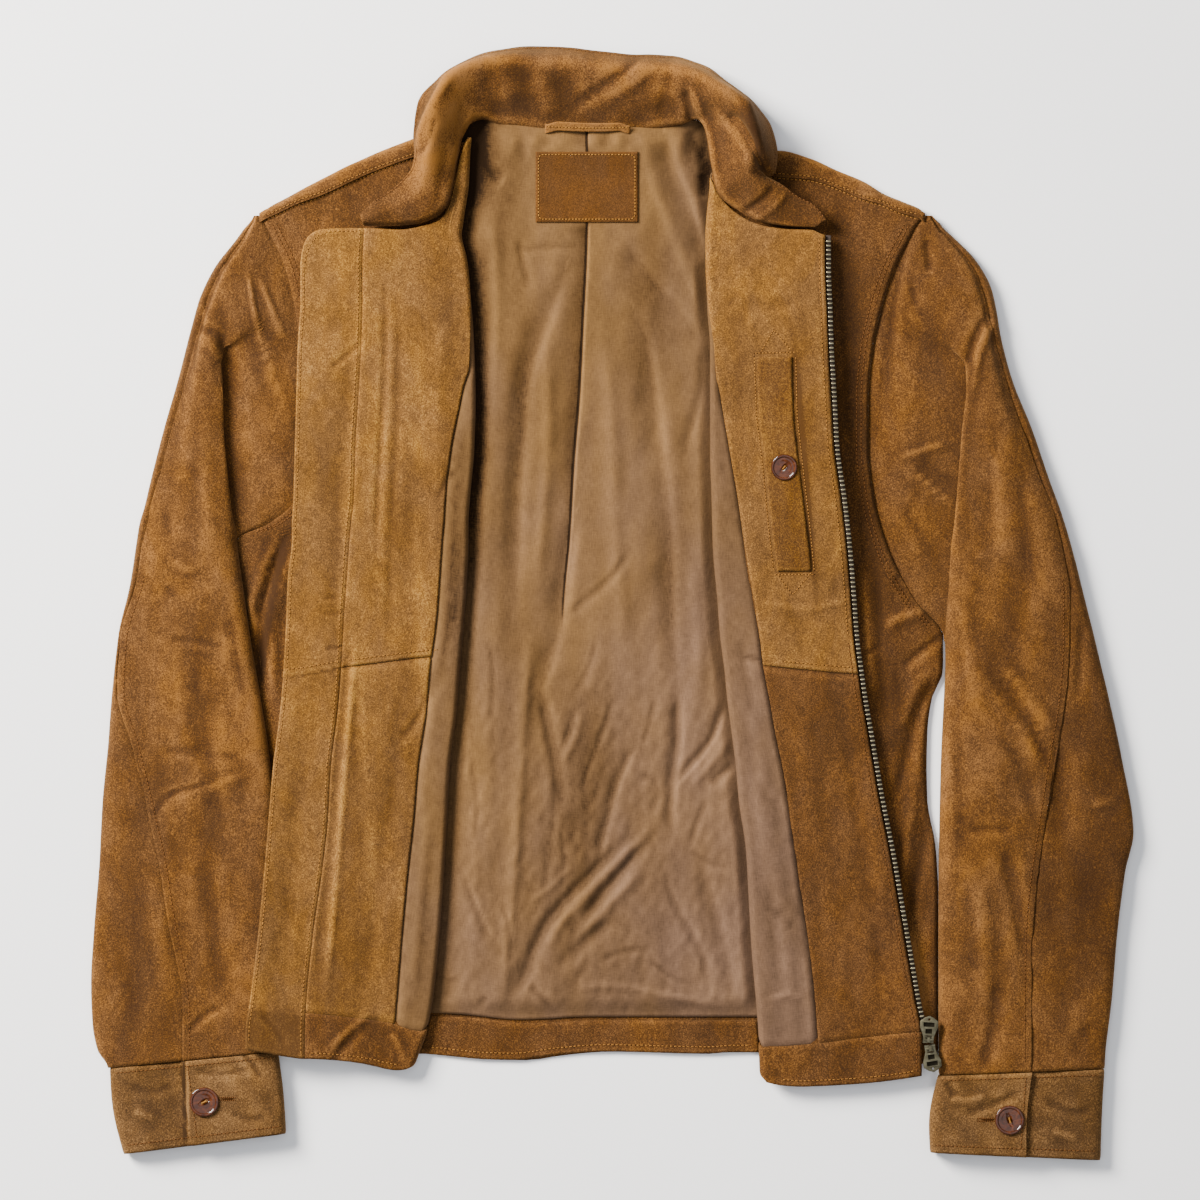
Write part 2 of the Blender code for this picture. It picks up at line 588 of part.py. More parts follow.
def front_grid(side, low, high, ends, across, offset, inset=GAP / 2):
    """Grid on a front between two places round it, moved out from the panel's middle by offset."""
    def place(part, y):
        a = low(y) if callable(low) else low
        b = high(y) if callable(high) else high
        return a + (b - a) * part + 0 * y

    reached = []
    for table, shift in zip(ends, (-inset, inset)):
        column = []
        for part in across:
            y = np.float64(table[0][1])
            for _ in range(4):
                y = smooth(table, place(part, y)) + shift
            column.append(float(y))
        reached.append(column)
    columns = []
    for part, y in zip(across, stations(*reached)):
        q = place(part, y)
        columns.append(front_point(side, q, y) + offset * front_normal(side, q, y))
    return np.stack(columns, axis=1)


def q_of(side, column, shift=0.0):
    """Place round the front, as a function of y, of one table column moved by shift millimetres."""
    rows = FRONT_RIGHT if side == "right" else FRONT_LEFT
    out = 1 if side == "right" else -1

    def place(y):
        centre = smooth(rows, y, 0, 4) + out * FOLD_COVER
        fly = smooth(rows, y, 0, 2)
        return np.clip(2 + (smooth(rows, y, 0, column) + out * shift - centre) / (fly - centre), 1.5, 3)
    return place


def facing_place(side, shift):
    """Edge between facing and lining: round the fold near the neck, then leaving it down the front."""
    edge = q_of(side, 3, shift)

    def place(y):
        near = ease((y - 150) / 110)
        return edge(y) * (1 - near) + (1.5 + shift * 0.08) * near
    return place


def build_front(group, side):
    """Outer suede of one front, and on it the lining strip, the two facing pieces and the hem's turn."""
    ends = ENDS_RIGHT if side == "right" else ENDS_LEFT
    top = [(r[0], r[1]) for r in ends]
    bottom = [(r[0], r[2]) for r in ends]
    hem = HEM_SEAM_RIGHT if side == "right" else HEM_SEAM_LEFT
    yoke = YOKE_SEAM_RIGHT if side == "right" else YOKE_SEAM_LEFT
    panel = front_grid(side, 0, 1, (top, bottom), FRONT_PLACES, 0)
    wall(group, f"front_{side}", panel, SUEDE, "suede")
    lining = front_grid(side, TUCK, facing_place(side, -GAP), (top, hem), STRIP_PLACES, ON_LINING, GAP)
    wall(group, f"front_lining_{side}", lining, LINING, "lining")
    start = facing_place(side, GAP)
    upper = front_grid(side, start, EDGE_Q, (top, yoke), FACING_PLACES, ON_FACING)
    wall(group, f"facing_upper_{side}", upper, SUEDE, "facing")
    lower = front_grid(side, start, EDGE_Q, (yoke, hem), LOWER_PLACES, ON_FACING)
    wall(group, f"facing_lower_{side}", lower, SUEDE, "facing")
    band = front_grid(side, 0, 1, (hem, bottom), HEM_PLACES, ON_FACING, GAP)
    wall(group, f"front_hem_{side}", band, SUEDE, "suede")


def build_flap(group):
    """Storm flap that stands beyond the left front's fly seam."""
    top = [(3 + r[0], r[1]) for r in FLAP_ENDS]
    bottom = [(3 + r[0], r[2]) for r in FLAP_ENDS]
    grid = front_grid("left", 3 + FLAP_START, 4, (top, bottom), FLAP_PLACES, FLAP_T / 2)
    wall(group, "storm_flap", grid, FLAP_T, "facing")


def build_zip(group):
    for name, (side, low, high, top, bottom, thick, offset, kind) in ZIP_STRIPS.items():
        ends = (((3, top), (4, top)), ((3, bottom), (4, bottom)))
        wall(group, name, front_grid(side, low, high, ends, (0, 1), offset), thick, kind)


def body_x(y, f):
    """Place across the back between the two side seams."""
    left = smooth(FRONT_LEFT, y, 0, 5)
    right = smooth(FRONT_RIGHT, y, 0, 5)
    return left + (right - left) * f


def back_height(x, y):
    """Rise of the back towards the collar seam; flat on the surface everywhere else."""
    return 2.6 * ease((y - 300) / 28) * ease((78 - np.abs(x + 14)) / 24)


def build_back(group):
    across = np.array([row[0] for row in BACK_ENDS])
    tops = [float(smooth(BACK_ENDS, f)) for f in across]
    bottoms = [float(smooth(BACK_ENDS, f, 0, 2)) for f in across]
    columns = []
    for f, y in zip(across, stations(tops, bottoms)):
        x = body_x(y, f)
        columns.append(np.stack([x, y, FLOOR_MID + back_height(x, y)], axis=-1))
    wall(group, "back_panel", np.stack(columns, axis=1), SUEDE, "suede")


def lining_height(x, y):
    """Height of the back lining over its flat level: soft folds that fade under the fronts."""
    left = smooth(FRONT_LEFT, y, 0, 4)
    right = smooth(FRONT_RIGHT, y, 0, 4)
    fade = ease((x - left - 2) / 14) * ease((right - 2 - x) / 14)
    z = np.zeros(np.shape(x))
    for x0, y0, x1, y1, width, height in LINING_FOLDS:
        dx, dy = x1 - x0, y1 - y0
        length = math.hypot(dx, dy)
        u = ((x - x0) * dx + (y - y0) * dy) / length ** 2
        v = ((x - x0) * dy - (y - y0) * dx) / length
        z = z + height * np.exp(-(v / width) ** 2) * ease(u * 4 + 0.5) * ease((1 - u) * 4 + 0.5)
    return fade * (z + 0.6) + 1.15 * back_height(x, y)


def lining_point(f, y, lift=0.0):
    left = smooth(FRONT_LEFT, y, 0, 4) - LINING_TUCK
    right = smooth(FRONT_RIGHT, y, 0, 4) + LINING_TUCK
    x = left + (right - left) * f
    return np.stack([x, y + 0 * x, LINING_MID + lift + lining_height(x, y)], axis=-1)


def build_back_lining(group):
    """Lining of the back, tucked a little under both folds, and the back hem's turn below it."""
    part = np.linspace(0, 1, LINING_ROWS)
    lining = []
    for f in np.linspace(0, 1, LINING_COLUMNS):
        top = smooth(LINING_ENDS, f)
        bottom = smooth(LINING_ENDS, f, 0, 2)
        lining.append(lining_point(f, bottom + (top - bottom) * part))
    wall(group, "back_lining", np.stack(lining, axis=1), LINING, "lining")
    hem = []
    for f in np.linspace(0, 1, 11):
        top = smooth(BACK_HEM_TOP, f) - GAP * 2
        low = smooth(BACK_ENDS, HEM_SPAN[0] + (HEM_SPAN[1] - HEM_SPAN[0]) * f, 0, 2) + GAP
        y = np.linspace(low, top, 3)
        x = smooth(FRONT_LEFT, y, 0, 4) * (1 - f) + smooth(FRONT_RIGHT, y, 0, 4) * f
        hem.append(np.stack([x, y, np.full(len(y), SUEDE + GAP + SUEDE / 2)], axis=-1))
    wall(group, "back_hem", np.stack(hem, axis=1), SUEDE, "suede")


def build_yoke(group, side):
    """Strip over the shoulder fold, from the back panel on the surface to the front's shoulder seam."""
    rows = YOKE_RIGHT if side == "right" else YOKE_LEFT
    columns = []
    for x in np.linspace(rows[0][0], rows[-1][0], YOKE_ACROSS):
        fold = smooth(rows, x)
        seam = smooth(rows, x, 0, 2) + YOKE_SEAM_ALLOWANCE
        back = smooth(rows, x, 0, 3)
        top = FLOOR_MID + 2 * YOKE_R
        poly = [(back, FLOOR_MID), ((back + fold) / 2, FLOOR_MID), (fold - 1, FLOOR_MID), (fold, 2),
                (fold, top - SUEDE), (fold - 1, top), (max(seam, fold - YOKE_FLAT), top + 0.2),
                (seam, top + 0.5)]
        curve = spline(poly, np.linspace(0, 1, YOKE_ROUND))
        columns.append(np.stack([np.full(len(curve), x), curve[:, 0], curve[:, 1]], axis=-1))
    wall(group, f"yoke_{side}", np.stack(columns, axis=1), SUEDE, "suede")


def cuff_line(side, y_mid):
    """Slope of the sleeve's rows, which turn to the cuff's slant towards the wrist."""
    inner, outer = (CUFF_RIGHT if side == "right" else CUFF_LEFT)[:2]
    return (outer[1] - inner[1]) / (outer[0] - inner[0]) * ease((-200 - y_mid) / 110)


def sleeve_row(side, y):
    """Named measures of one sleeve station, X counted outward; the armhole follows the front's side seam."""
    rows = SLEEVE_RIGHT if side == "right" else SLEEVE_LEFT
    body = FRONT_RIGHT if side == "right" else FRONT_LEFT
    way = 1 if side == "right" else -1
    row = {name: float(smooth(rows, y, 0, k)) for k, name in enumerate(SLEEVE_COLUMNS) if k}
    for name in ("out", "hind", "ridge"):
        row[name] *= way
    row["arm"] = float(smooth(body, y, 0, 5)) * way
    row["z_arm"] = float(smooth(body, y, 0, 8))
    row["slope"] = (row["z_hind"] - row["z_crown"]) * 0.09
    row["start"] = (row["arm"] + GAP) * (1 - row["tube"]) + (row["ridge"] + 15) * row["tube"]
    return row


def upper_sleeve_section(side, y, s):
    """Armhole or underarm seam, round the inner fold, over the crown to the hind seam."""
    m = sleeve_row(side, y)
    r, h, tube = m["ridge"], m["hind"], m["tube"]
    span = max(r - m["arm"], 0.5)
    wing = [(m["arm"] + GAP, m["z_arm"]), (m["arm"] + span * 0.3, m["z_arm"] * 0.5 + m["z_wing"] * 0.5 + 0.5),
            (m["arm"] + span * 0.65, m["z_wing"]), (r + m["tuck"], m["z_wing"]),
            (r + m["tuck"], m["z_wing"] + 2.2)]
    closed = [(r + 15, FLOOR_MID), (r + 11, FLOOR_MID), (r + 7, FLOOR_MID), (r + 3, FLOOR_MID), (r, 2.2)]
    first = [tuple(np.array(w) * (1 - tube) + np.array(c) * tube) for w, c in zip(wing, closed)]
    room = h - r
    rest = [(r, (m["z_wing"] + 3.2) * (1 - tube) + 4.5 * tube), (r, m["z_ridge"]),
            (r + min(5, room * 0.2), m["z_crown"] - 1.6), (r + min(16, room * 0.35), m["z_crown"]),
            (r + room * 0.5, m["z_crown"]), (r + room * 0.75, m["z_crown"]),
            (h - SEAM_HALF - 3, m["z_hind"] - 3 * m["slope"]), (h - SEAM_HALF, m["z_hind"])]
    return place_row(side, y, spline(first + rest, s))


def under_sleeve_section(side, y, s):
    """Hind seam on top, over the outer edge and back along the surface to the armhole or underarm seam."""
    m = sleeve_row(side, y)
    o, h = m["out"] - SUEDE / 2, m["hind"]
    last = m["start"] + (0.5 if m["tube"] > 0 else 0)
    room = o - h
    high = min(m["z_hind"], 11.5)
    reach = min(3, room * 0.3)
    p = [(h + SEAM_HALF, m["z_hind"]), (h + SEAM_HALF + reach, m["z_hind"] + reach * m["slope"]),
         (o - min(4, room * 0.4), high - 0.4), (o, high - 3.2), (o, 3),
         (o - 2, FLOOR_MID), (o - 8, FLOOR_MID),
         (o * 0.6 + last * 0.4, FLOOR_MID), (o * 0.3 + last * 0.7, FLOOR_MID), (last, FLOOR_MID)]
    return place_row(side, y, spline(p, s))


def place_row(side, y, p):
    k = 1 if side == "right" else -1
    inner, outer = (CUFF_RIGHT if side == "right" else CUFF_LEFT)[:2]
    middle = (inner[0] + outer[0]) / 2
    x = p[:, 0] * k
    return np.stack([x, y + (x - middle) * cuff_line(side, y), p[:, 1]], axis=-1)


def build_sleeve(group, side):
    y = stations([SLEEVE_TOP], [SLEEVE_STOP[side]], 4)[0]
    s = np.concatenate([np.linspace(0, 0.55, 11), np.linspace(0.65, 1, 4)])
    upper = np.stack([upper_sleeve_section(side, v, s) for v in y])
    wall(group, f"sleeve_upper_{side}", upper, SUEDE, "suede")
    s = np.concatenate([np.linspace(0, 0.6, 9), np.linspace(0.8, 1, 2)])
    under = np.stack([under_sleeve_section(side, v, s) for v in y])
    wall(group, f"sleeve_under_{side}", under, SUEDE, "suede")


def build_cuff(group, side):
    """Flat tube whose ends overlap on the upper face."""
    c = CUFF_RIGHT if side == "right" else CUFF_LEFT
    lap = c[4]
    top = CUFF_TOP
    low = CUFF_T / 2
    rise = top - CUFF_T - CUFF_LAP_GAP
    inner_end = [(lap - 0.13, rise), (lap + 0.05, rise), (0.8, rise), (0.95, rise - 0.4), (1, rise - 3)]
    under = [(1, 3.4), (0.98, low), (0.93, low), (0.7, low), (0.3, low), (0.07, low), (0.02, low), (0, 3.4)]
    outer_end = [(0, top - 3.6), (0.03, top - 0.4), (0.12, top),
                 (lap * 0.6, top), (lap - 0.05, top), (lap, top)]
    p = spline(inner_end + under + outer_end, np.linspace(0, 1, CUFF_STEPS))
    rows = []
    for t in np.linspace(0, 1, 4):
        inner = np.array(c[0]) * (1 - t) + np.array(c[3]) * t
        outer = np.array(c[1]) * (1 - t) + np.array(c[2]) * t
        trim = CUFF_T / 2 / abs(outer[0] - inner[0])
        f = trim + p[:, 0] * (1 - 2 * trim)
        xy = inner[None] + (outer - inner)[None] * f[:, None]
        rows.append(np.concatenate([xy, p[:, 1:2]], axis=1))
    wall(group, f"cuff_{side}", np.stack(rows), CUFF_T, "facing")


def collar_grid(along, across):
    """Middle surface of the collar at stations along the table and places from seam (0) to free edge (1)."""
    columns = []
    for k in range(len(COLLAR[0])):
        columns.append(smooth([(i, row[k]) for i, row in enumerate(COLLAR)], along))
    grid = []
    for row in np.stack(columns, axis=1):
        seam, crest, free = row[0:3], row[3:6], row[6:9]
        lift = crest + (crest - (seam + free) / 2) * 0.25
        poly = [seam, seam * 0.55 + lift * 0.45, lift * 0.9 + seam * 0.1, lift * 0.9 + free * 0.1,
                free * 0.6 + lift * 0.4, free]
        grid.append(spline(poly, across))
    return np.stack(grid)


def build_collar(group):
    """Two layers of suede either side of the collar's middle surface; the lower one stops short
    of the edge."""
    grid = collar_grid(np.linspace(0, len(COLLAR) - 1, COLLAR_ALONG), np.linspace(0, 1, COLLAR_ACROSS))
    n = normals(grid)
    n = -n if n[len(n) // 2, 2, 2] < 0 else n
    wall(group, "collar_upper", grid + n * COLLAR_HALF, SUEDE, "suede")
    grid[:, -1] = grid[:, -1] * 0.6 + grid[:, -2] * 0.4
    wall(group, "collar_under", grid - n * COLLAR_HALF, SUEDE, "suede")


def build_neck_trim(group):
    """Hanger loop over the neck seam and the label patch on the back lining."""
    count = 9
    grid = collar_grid(np.linspace(*LOOP_ALONG, count), np.array(LOOP_ACROSS))
    n = normals(grid)
    n = -n if n[count // 2, 1, 2] < 0 else n
    rise = LOOP_RISE * np.sin(np.linspace(0, math.pi, count))[:, None, None]
    lift = COLLAR_HALF + SUEDE / 2 + GAP + LOOP_T / 2
    wall(group, "hanger_loop", grid + n * (lift + rise), LOOP_T, "suede")
    x, y = np.meshgrid(np.linspace(*LABEL_X, 8), np.linspace(*LABEL_Y, 6))
    z = LINING_MID + lining_height(x, y) + LINING / 2 + GAP + LABEL_T / 2 + 0.2
    wall(group, "label_patch", np.stack([x, y, z], axis=-1), LABEL_T, "suede")


def build_pocket(group):
    """Welt of the inner pocket on the right upper facing, and its button."""
    ends = (WELT[-1][0], WELT[0][0])
    y = np.array([ends[0]] + [v for v in STATIONS if ends[0] + 5 < v < ends[1] - 5] + [ends[1]], float)
    centre = smooth(FRONT_RIGHT, y, 0, 4) + FOLD_COVER
    columns = []
    for f in (0, 0.5, 1):
        x = smooth(WELT, y, 0, 1) * (1 - f) + smooth(WELT, y, 0, 2) * f
        q = 2 + (x - centre) / (smooth(FRONT_RIGHT, y, 0, 2) - centre)
        lift = FACING_TOP + GAP + WELT_T / 2
        columns.append(front_point("right", q, y) + lift * front_normal("right", q, y))
    grid = np.stack(columns, axis=1)
    wall(group, "pocket_welt", grid, WELT_T, "facing")
    x, y_button, radius = POCKET_BUTTON
    near = grid[np.argmin(abs(y - y_button))]
    slope = (near[2, 2] - near[0, 2]) / (near[2, 0] - near[0, 0])
    height = near[1, 2] + WELT_T / 2 + GAP + 0.35
    build_button(group, "pocket_button", (x, y_button, height), radius, math.atan(slope))


def build_button(group, name, centre, radius, tilt=0.0):
    """Button with a raised rim round a dished face."""
    profile = [(radius * part, height) for part, height in BUTTON_PROFILE]
    turned(group, name, profile, centre, "button", tilt)


def build_pull(group, shapes, name):
    """Slider of a two-way zip and the tab that turns on the bar under its arch."""
    centre, turn = PULLS[name]
    foot, top = TUNNEL + FOOT, SLIDER_TOP + ARCH_TOP
    arch_outline = ((-foot, SLIDER_TOP - FOOT_DOWN), (-TUNNEL, SLIDER_TOP - FOOT_DOWN),
                    (-TUNNEL, SLIDER_TOP + TUNNEL_UP), (TUNNEL, SLIDER_TOP + TUNNEL_UP),
                    (TUNNEL, SLIDER_TOP - FOOT_DOWN), (foot, SLIDER_TOP - FOOT_DOWN),
                    (foot, top - ARCH_CUT), (foot - ARCH_CUT, top),
                    (ARCH_CUT - foot, top), (-foot, top - ARCH_CUT))
    place = (centre[0] * MM, centre[1] * MM)
    slider = plate(group, f"slider_{name}", SLIDER_OUTLINE, SLIDER_TOP - SLIDER_LOW, "metal")
    slider.location = (*place, (SLIDER_TOP + SLIDER_LOW) / 2 * MM)
    slider.rotation_euler = (0, 0, turn)
    arch = plate(shapes, f"arch_{name}", arch_outline, ARCH_WIDE, "metal")
    arch.location = (*place, 0)
    arch.rotation_euler = (math.pi / 2, 0, math.pi / 2 + turn)
    fit(slider, arch, "UNION")
    left_half = tuple((-x, y) for x, y in reversed(TAB_HALF))
    tab = plate(group, f"zip_pull_{name}", TAB_HALF + (TAB_TIP,) + left_half, PULL_T, "metal")
    window = plate(shapes, f"window_{name}", WINDOW_OUTLINE, PULL_T * 2, "metal")
    for item in (tab, window):
        item.location = (*place, (SLIDER_TOP + PIVOT_UP) * MM)
        item.rotation_euler = (0, 0, turn)
    fit(tab, window, "DIFFERENCE")


def main():
    group = clear_scene()
    shapes = bpy.data.collections.new("fitting_shapes")
    bpy.context.scene.collection.children.link(shapes)
    build_back(group)
    build_back_lining(group)
    build_flap(group)
    build_zip(group)
    build_collar(group)
    build_neck_trim(group)
    build_pocket(group)
    for side in ("left", "right"):
        build_front(group, side)
        build_yoke(group, side)
        build_sleeve(group, side)
        build_cuff(group, side)
        x, y, radius = CUFF_BUTTONS[side]
        build_button(group, f"cuff_button_{side}", (x, y, CUFF_TOP + CUFF_T / 2 + GAP), radius)
    for name in PULLS:
        build_pull(group, shapes, name)


main()
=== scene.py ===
"""Suede jacket laid open on its back: cloth, stitching, zip, buttons and the studio round them.

Lengths in the tables are millimetres and become metres when a mesh is made. "left" is the -X side and
"right" the +X side, +Y points to the collar and +Z is up from the surface that the jacket lies on.
"""
import json
import math

import bmesh
import bpy
import numpy as np
from bpy.props import FloatProperty, FloatVectorProperty, PointerProperty
from bpy.types import Operator, Panel, PropertyGroup
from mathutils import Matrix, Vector
from mathutils.bvhtree import BVHTree

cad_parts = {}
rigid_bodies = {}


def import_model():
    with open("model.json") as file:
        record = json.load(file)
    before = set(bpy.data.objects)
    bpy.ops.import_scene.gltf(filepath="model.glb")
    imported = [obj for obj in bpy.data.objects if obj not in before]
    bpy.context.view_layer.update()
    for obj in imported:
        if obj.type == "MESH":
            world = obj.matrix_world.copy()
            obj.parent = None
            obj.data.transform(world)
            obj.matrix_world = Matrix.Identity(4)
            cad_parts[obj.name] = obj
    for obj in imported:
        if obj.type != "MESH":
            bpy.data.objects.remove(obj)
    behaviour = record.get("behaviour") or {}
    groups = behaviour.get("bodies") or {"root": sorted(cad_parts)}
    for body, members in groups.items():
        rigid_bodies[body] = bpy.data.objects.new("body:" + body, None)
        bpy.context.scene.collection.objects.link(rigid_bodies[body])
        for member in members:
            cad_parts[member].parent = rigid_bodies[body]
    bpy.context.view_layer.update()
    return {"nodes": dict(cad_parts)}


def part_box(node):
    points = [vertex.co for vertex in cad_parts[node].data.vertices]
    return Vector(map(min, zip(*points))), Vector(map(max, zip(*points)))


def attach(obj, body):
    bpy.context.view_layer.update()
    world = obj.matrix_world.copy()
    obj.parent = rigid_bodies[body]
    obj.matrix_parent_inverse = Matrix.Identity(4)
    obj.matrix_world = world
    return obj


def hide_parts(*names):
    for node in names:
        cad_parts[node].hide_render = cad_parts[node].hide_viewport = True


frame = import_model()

bl_info = {
    "name": "Suede Jacket Laid Open",
    "version": (1, 0, 0),
    "blender": (4, 5, 0),
    "location": "View3D > Sidebar > Jacket",
    "description": "Cuts, sews and lights a suede jacket that lies open on its back",
    "category": "Object",
}

# ---------------- cut of the jacket, in millimetres
MM = 0.001
SIDES = ("left", "right")
OUT = {"left": -1, "right": 1}
# thickness of the cloths and the gap between layers, then heights of middle surfaces that follow from them
SUEDE = 1.4
LINING = 0.9
FLAP_T = 2.4
CUFF_T = 2.0
WELT_T = 1.2
LABEL_T = 1.0
LOOP_T = 1.2
GAP = 0.3
FLOOR_MID = SUEDE / 2
LINING_MID = SUEDE + GAP + LINING / 2
ON_FACING = SUEDE + GAP
ON_LINING = (SUEDE + LINING) / 2 + GAP + 0.15
FACING_TOP = SUEDE * 1.5 + GAP
COLLAR_HALF = SUEDE / 2 + 2 * GAP
# the fronts' folds: radius, height where they start, room for the lining inside, swell of the part below
FOLD_R = 2.3
FRONT_BASE = 4.8
FOLD_COVER = FOLD_R + SUEDE / 2 + GAP + LINING
FRONT_PUFF = 2.4
# places round a front: where its lining strip starts, its own two ends, the flap's start before the fly seam
TUCK = 0.86
SIDE_Q = 0.004
EDGE_Q = 2.996
FLAP_START = 0.016
# back lining: reach under the fronts, the pleat's pull on its columns, length, rise of the middle and label
LINING_TUCK = 13
PLEAT_REACH = 12
LINING_LENGTH = 620
LINING_RISE = 4.6
LABEL_RISE = 4.8
# share of the back's width that its hem's turn runs along
HEM_SPAN = (0.24, 0.72)
# sleeves and yokes: half a seam, ends, start of the sleeve heads, reach of a closed tube's underside
SEAM_HALF = 0.35
SLEEVE_TOP = 273
SLEEVE_STOP = {"left": -316.3, "right": -324.9}
HEAD_FROM = {"left": 166, "right": 164}
CLOSED_REACH = 15
YOKE_R = 3.4
CUFF_BOW = {"left": np.array([0.8, -2.4]), "right": np.array([-3.0, -0.4])}
CUFF_TOP = 14.2
# a piece narrower than this counts as a strip
NARROW = 10
# a normal steeper than this looks straight up
UPRIGHT = 0.9
FLOOR_Z = -0.2 * MM

# fronts, one row a station along the length: y, then the measures that the next line numbers
EDGE, FLY, FACING, FOLD, SIDE, Z_FLY, Z_EDGE, Z_SIDE = range(1, 9)
FRONTS = {
    "right": (
        (330, 157, 149, 66, 64, 221, 14.5, 14.5, 8), (296, 157, 149, 70, 69, 221, 14.5, 14.5, 8),
        (275, 157, 149, 67, 67, 221, 15, 15, 8), (268, 157, 149, 66.5, 66.5, 214.6, 15, 15, 8),
        (259, 157, 149, 66, 66, 209.5, 15.5, 15.5, 8), (236, 157, 149, 66, 66, 198, 17, 17, 8),
        (208, 158, 150, 67, 67, 189, 17.5, 17.5, 7.6), (180, 159, 151, 70, 69, 183, 17.5, 17.5, 7.2),
        (145, 161, 153, 76, 69, 180, 18, 18, 7), (110, 163, 155, 82, 69, 180, 18, 18, 7),
        (75, 168, 160, 88, 70, 184, 17, 17, 6.6), (40, 172, 164, 93, 71, 194, 15, 15, 6),
        (5, 175, 167, 99, 74, 212, 12, 12, 4.6), (-21, 177, 169, 103, 76, 232, 10.6, 10.6, 3),
        (-44, 180, 172, 106, 79, 232, 10, 10, 2.5), (-65, 183, 175, 110, 81, 224, 9.6, 9.6, 2.5),
        (-88, 187, 179, 114, 84, 221, 9.4, 9.4, 2.5), (-112, 191, 183, 119, 87, 220.5, 9.4, 9.4, 2.5),
        (-135, 195, 187, 123, 89, 221, 9.4, 9.4, 2.5), (-170, 202, 194, 128, 94, 227, 9.4, 9.4, 2.5),
        (-205, 208, 200, 133, 96, 228.5, 9.4, 9.4, 2.5), (-240, 214, 206, 138, 98, 228.5, 9.4, 9.4, 2.5),
        (-275, 220, 212, 142, 101, 228.5, 9.4, 9.4, 2.5), (-303, 225, 217, 144, 103, 228.5, 9.4, 9.4, 2.5),
        (-335, 225, 217, 146, 104, 228.5, 9.4, 9.4, 2.5),
    ),
    "left": (
        (340, -217, -173, -106, -97, -247, 13, 13, 8), (318, -217, -173, -106, -99, -247, 13, 13, 8),
        (296, -217, -173, -106, -100, -247, 13, 13, 8), (275, -217, -173, -106, -103, -247, 13.5, 13.5, 8),
        (268, -217, -173, -106, -104, -243, 13.8, 13.8, 8), (260, -217, -173, -106, -105, -239, 14, 14, 8),
        (241, -217, -174, -102, -101, -230, 14, 14, 8), (215, -217, -174, -99, -98, -223, 13.5, 13.5, 7.8),
        (180, -219, -175, -99, -96, -218, 13, 13, 7.2), (145, -220, -177, -105, -95, -217, 13, 13, 6.8),
        (110, -221, -179, -112, -96, -218, 13, 13, 6.4), (75, -222, -180, -116, -99, -222, 13, 12.5, 5.8),
        (58, -223, -182, -117, -100, -240, 13, 12.5, 5),
        (47, -223, -183, -118, -100, -262.2, 13, 12.5, 3.6),
        (19, -226, -185, -120, -101, -258.7, 13, 12.5, 2.5),
        (-9, -227, -187, -122, -103, -254.8, 13, 12.5, 2.5),
        (-46, -229, -189, -127, -106, -248.9, 13, 13.5, 2.5),
        (-71, -231, -191, -129, -108, -244.8, 13, 15, 2.5),
        (-112, -236, -196, -135, -113, -238.8, 13.5, 17, 2.5),
        (-148, -239, -198, -138, -115, -235.2, 14, 18, 2.5),
        (-184, -242, -202, -142, -117, -233.5, 14.5, 18.4, 2.5),
        (-226, -246, -208, -146, -120, -231.4, 15, 18.6, 2.5),
        (-275, -252, -213, -150, -125, -231.4, 15.5, 18.6, 2.5),
        (-297, -255, -214, -152, -129.5, -231.4, 15.5, 18.4, 2.5),
        (-315, -255, -214, -155, -136, -231.4, 15.5, 18.4, 2.5),
        (-327, -255, -214, -157, -140, -231.4, 15.5, 18.4, 2.5),
    ),
}
# ends of each front: place round it (0 side seam, 1 and 2 the fold, 3 the fly seam), top, bottom
ENDS = {
    "right": (
        (0.0, 273, -320), (0.14, 279, -320), (0.25, 285.5, -320), (0.37, 292.5, -320), (0.5, 300, -320),
        (0.66, 303, -320), (1.0, 305, -320.5), (1.5, 300, -326), (2.0, 290, -332.5), (2.08, 283, -334.5),
        (2.22, 274, -335.5), (2.36, 268, -335), (2.53, 264.5, -334), (2.7, 263, -332.5),
        (2.88, 262.5, -330), (3.0, 259, -328),
    ),
    "left": (
        (0.0, 273, -312), (0.16, 282, -312), (0.5, 303, -312), (0.8, 317, -312), (1.0, 325, -314),
        (1.5, 328, -319), (2.0, 322, -323.4), (2.06, 300, -324), (2.1, 280, -324), (2.2, 269.5, -323),
        (2.38, 265.5, -320), (2.6, 263, -317.5), (3.0, 264, -315.5),
    ),
}
# the storm flap's ends, by place across it from the fly seam to its free edge
FLAP_ENDS = (
    (0.0, 264, -315.5), (0.3, 264, -314), (0.7, 263, -311), (0.88, 258, -310), (0.97, 249, -309),
    (1.0, 240, -307.6),
)
# seams that cross the fronts: place round the front, then the seam's y there
HEM_SEAMS = {
    "left": (
        (0.9, -292), (1.5, -294), (2.0, -296), (2.3, -290), (2.6, -286.5), (3.0, -283), (4.0, -277.6),
    ),
    "right": (
        (0.9, -302), (1.5, -305), (2.0, -307), (2.35, -304.5), (2.6, -301), (3.0, -297), (4.0, -297),
    ),
}
YOKE_SEAMS = {
    "left": (
        (2.0, -33), (3.0, -41), (4.0, -47),
    ),
    "right": (
        (2.0, -38), (2.5, -42), (3.0, -45.5), (4.0, -46),
    ),
}

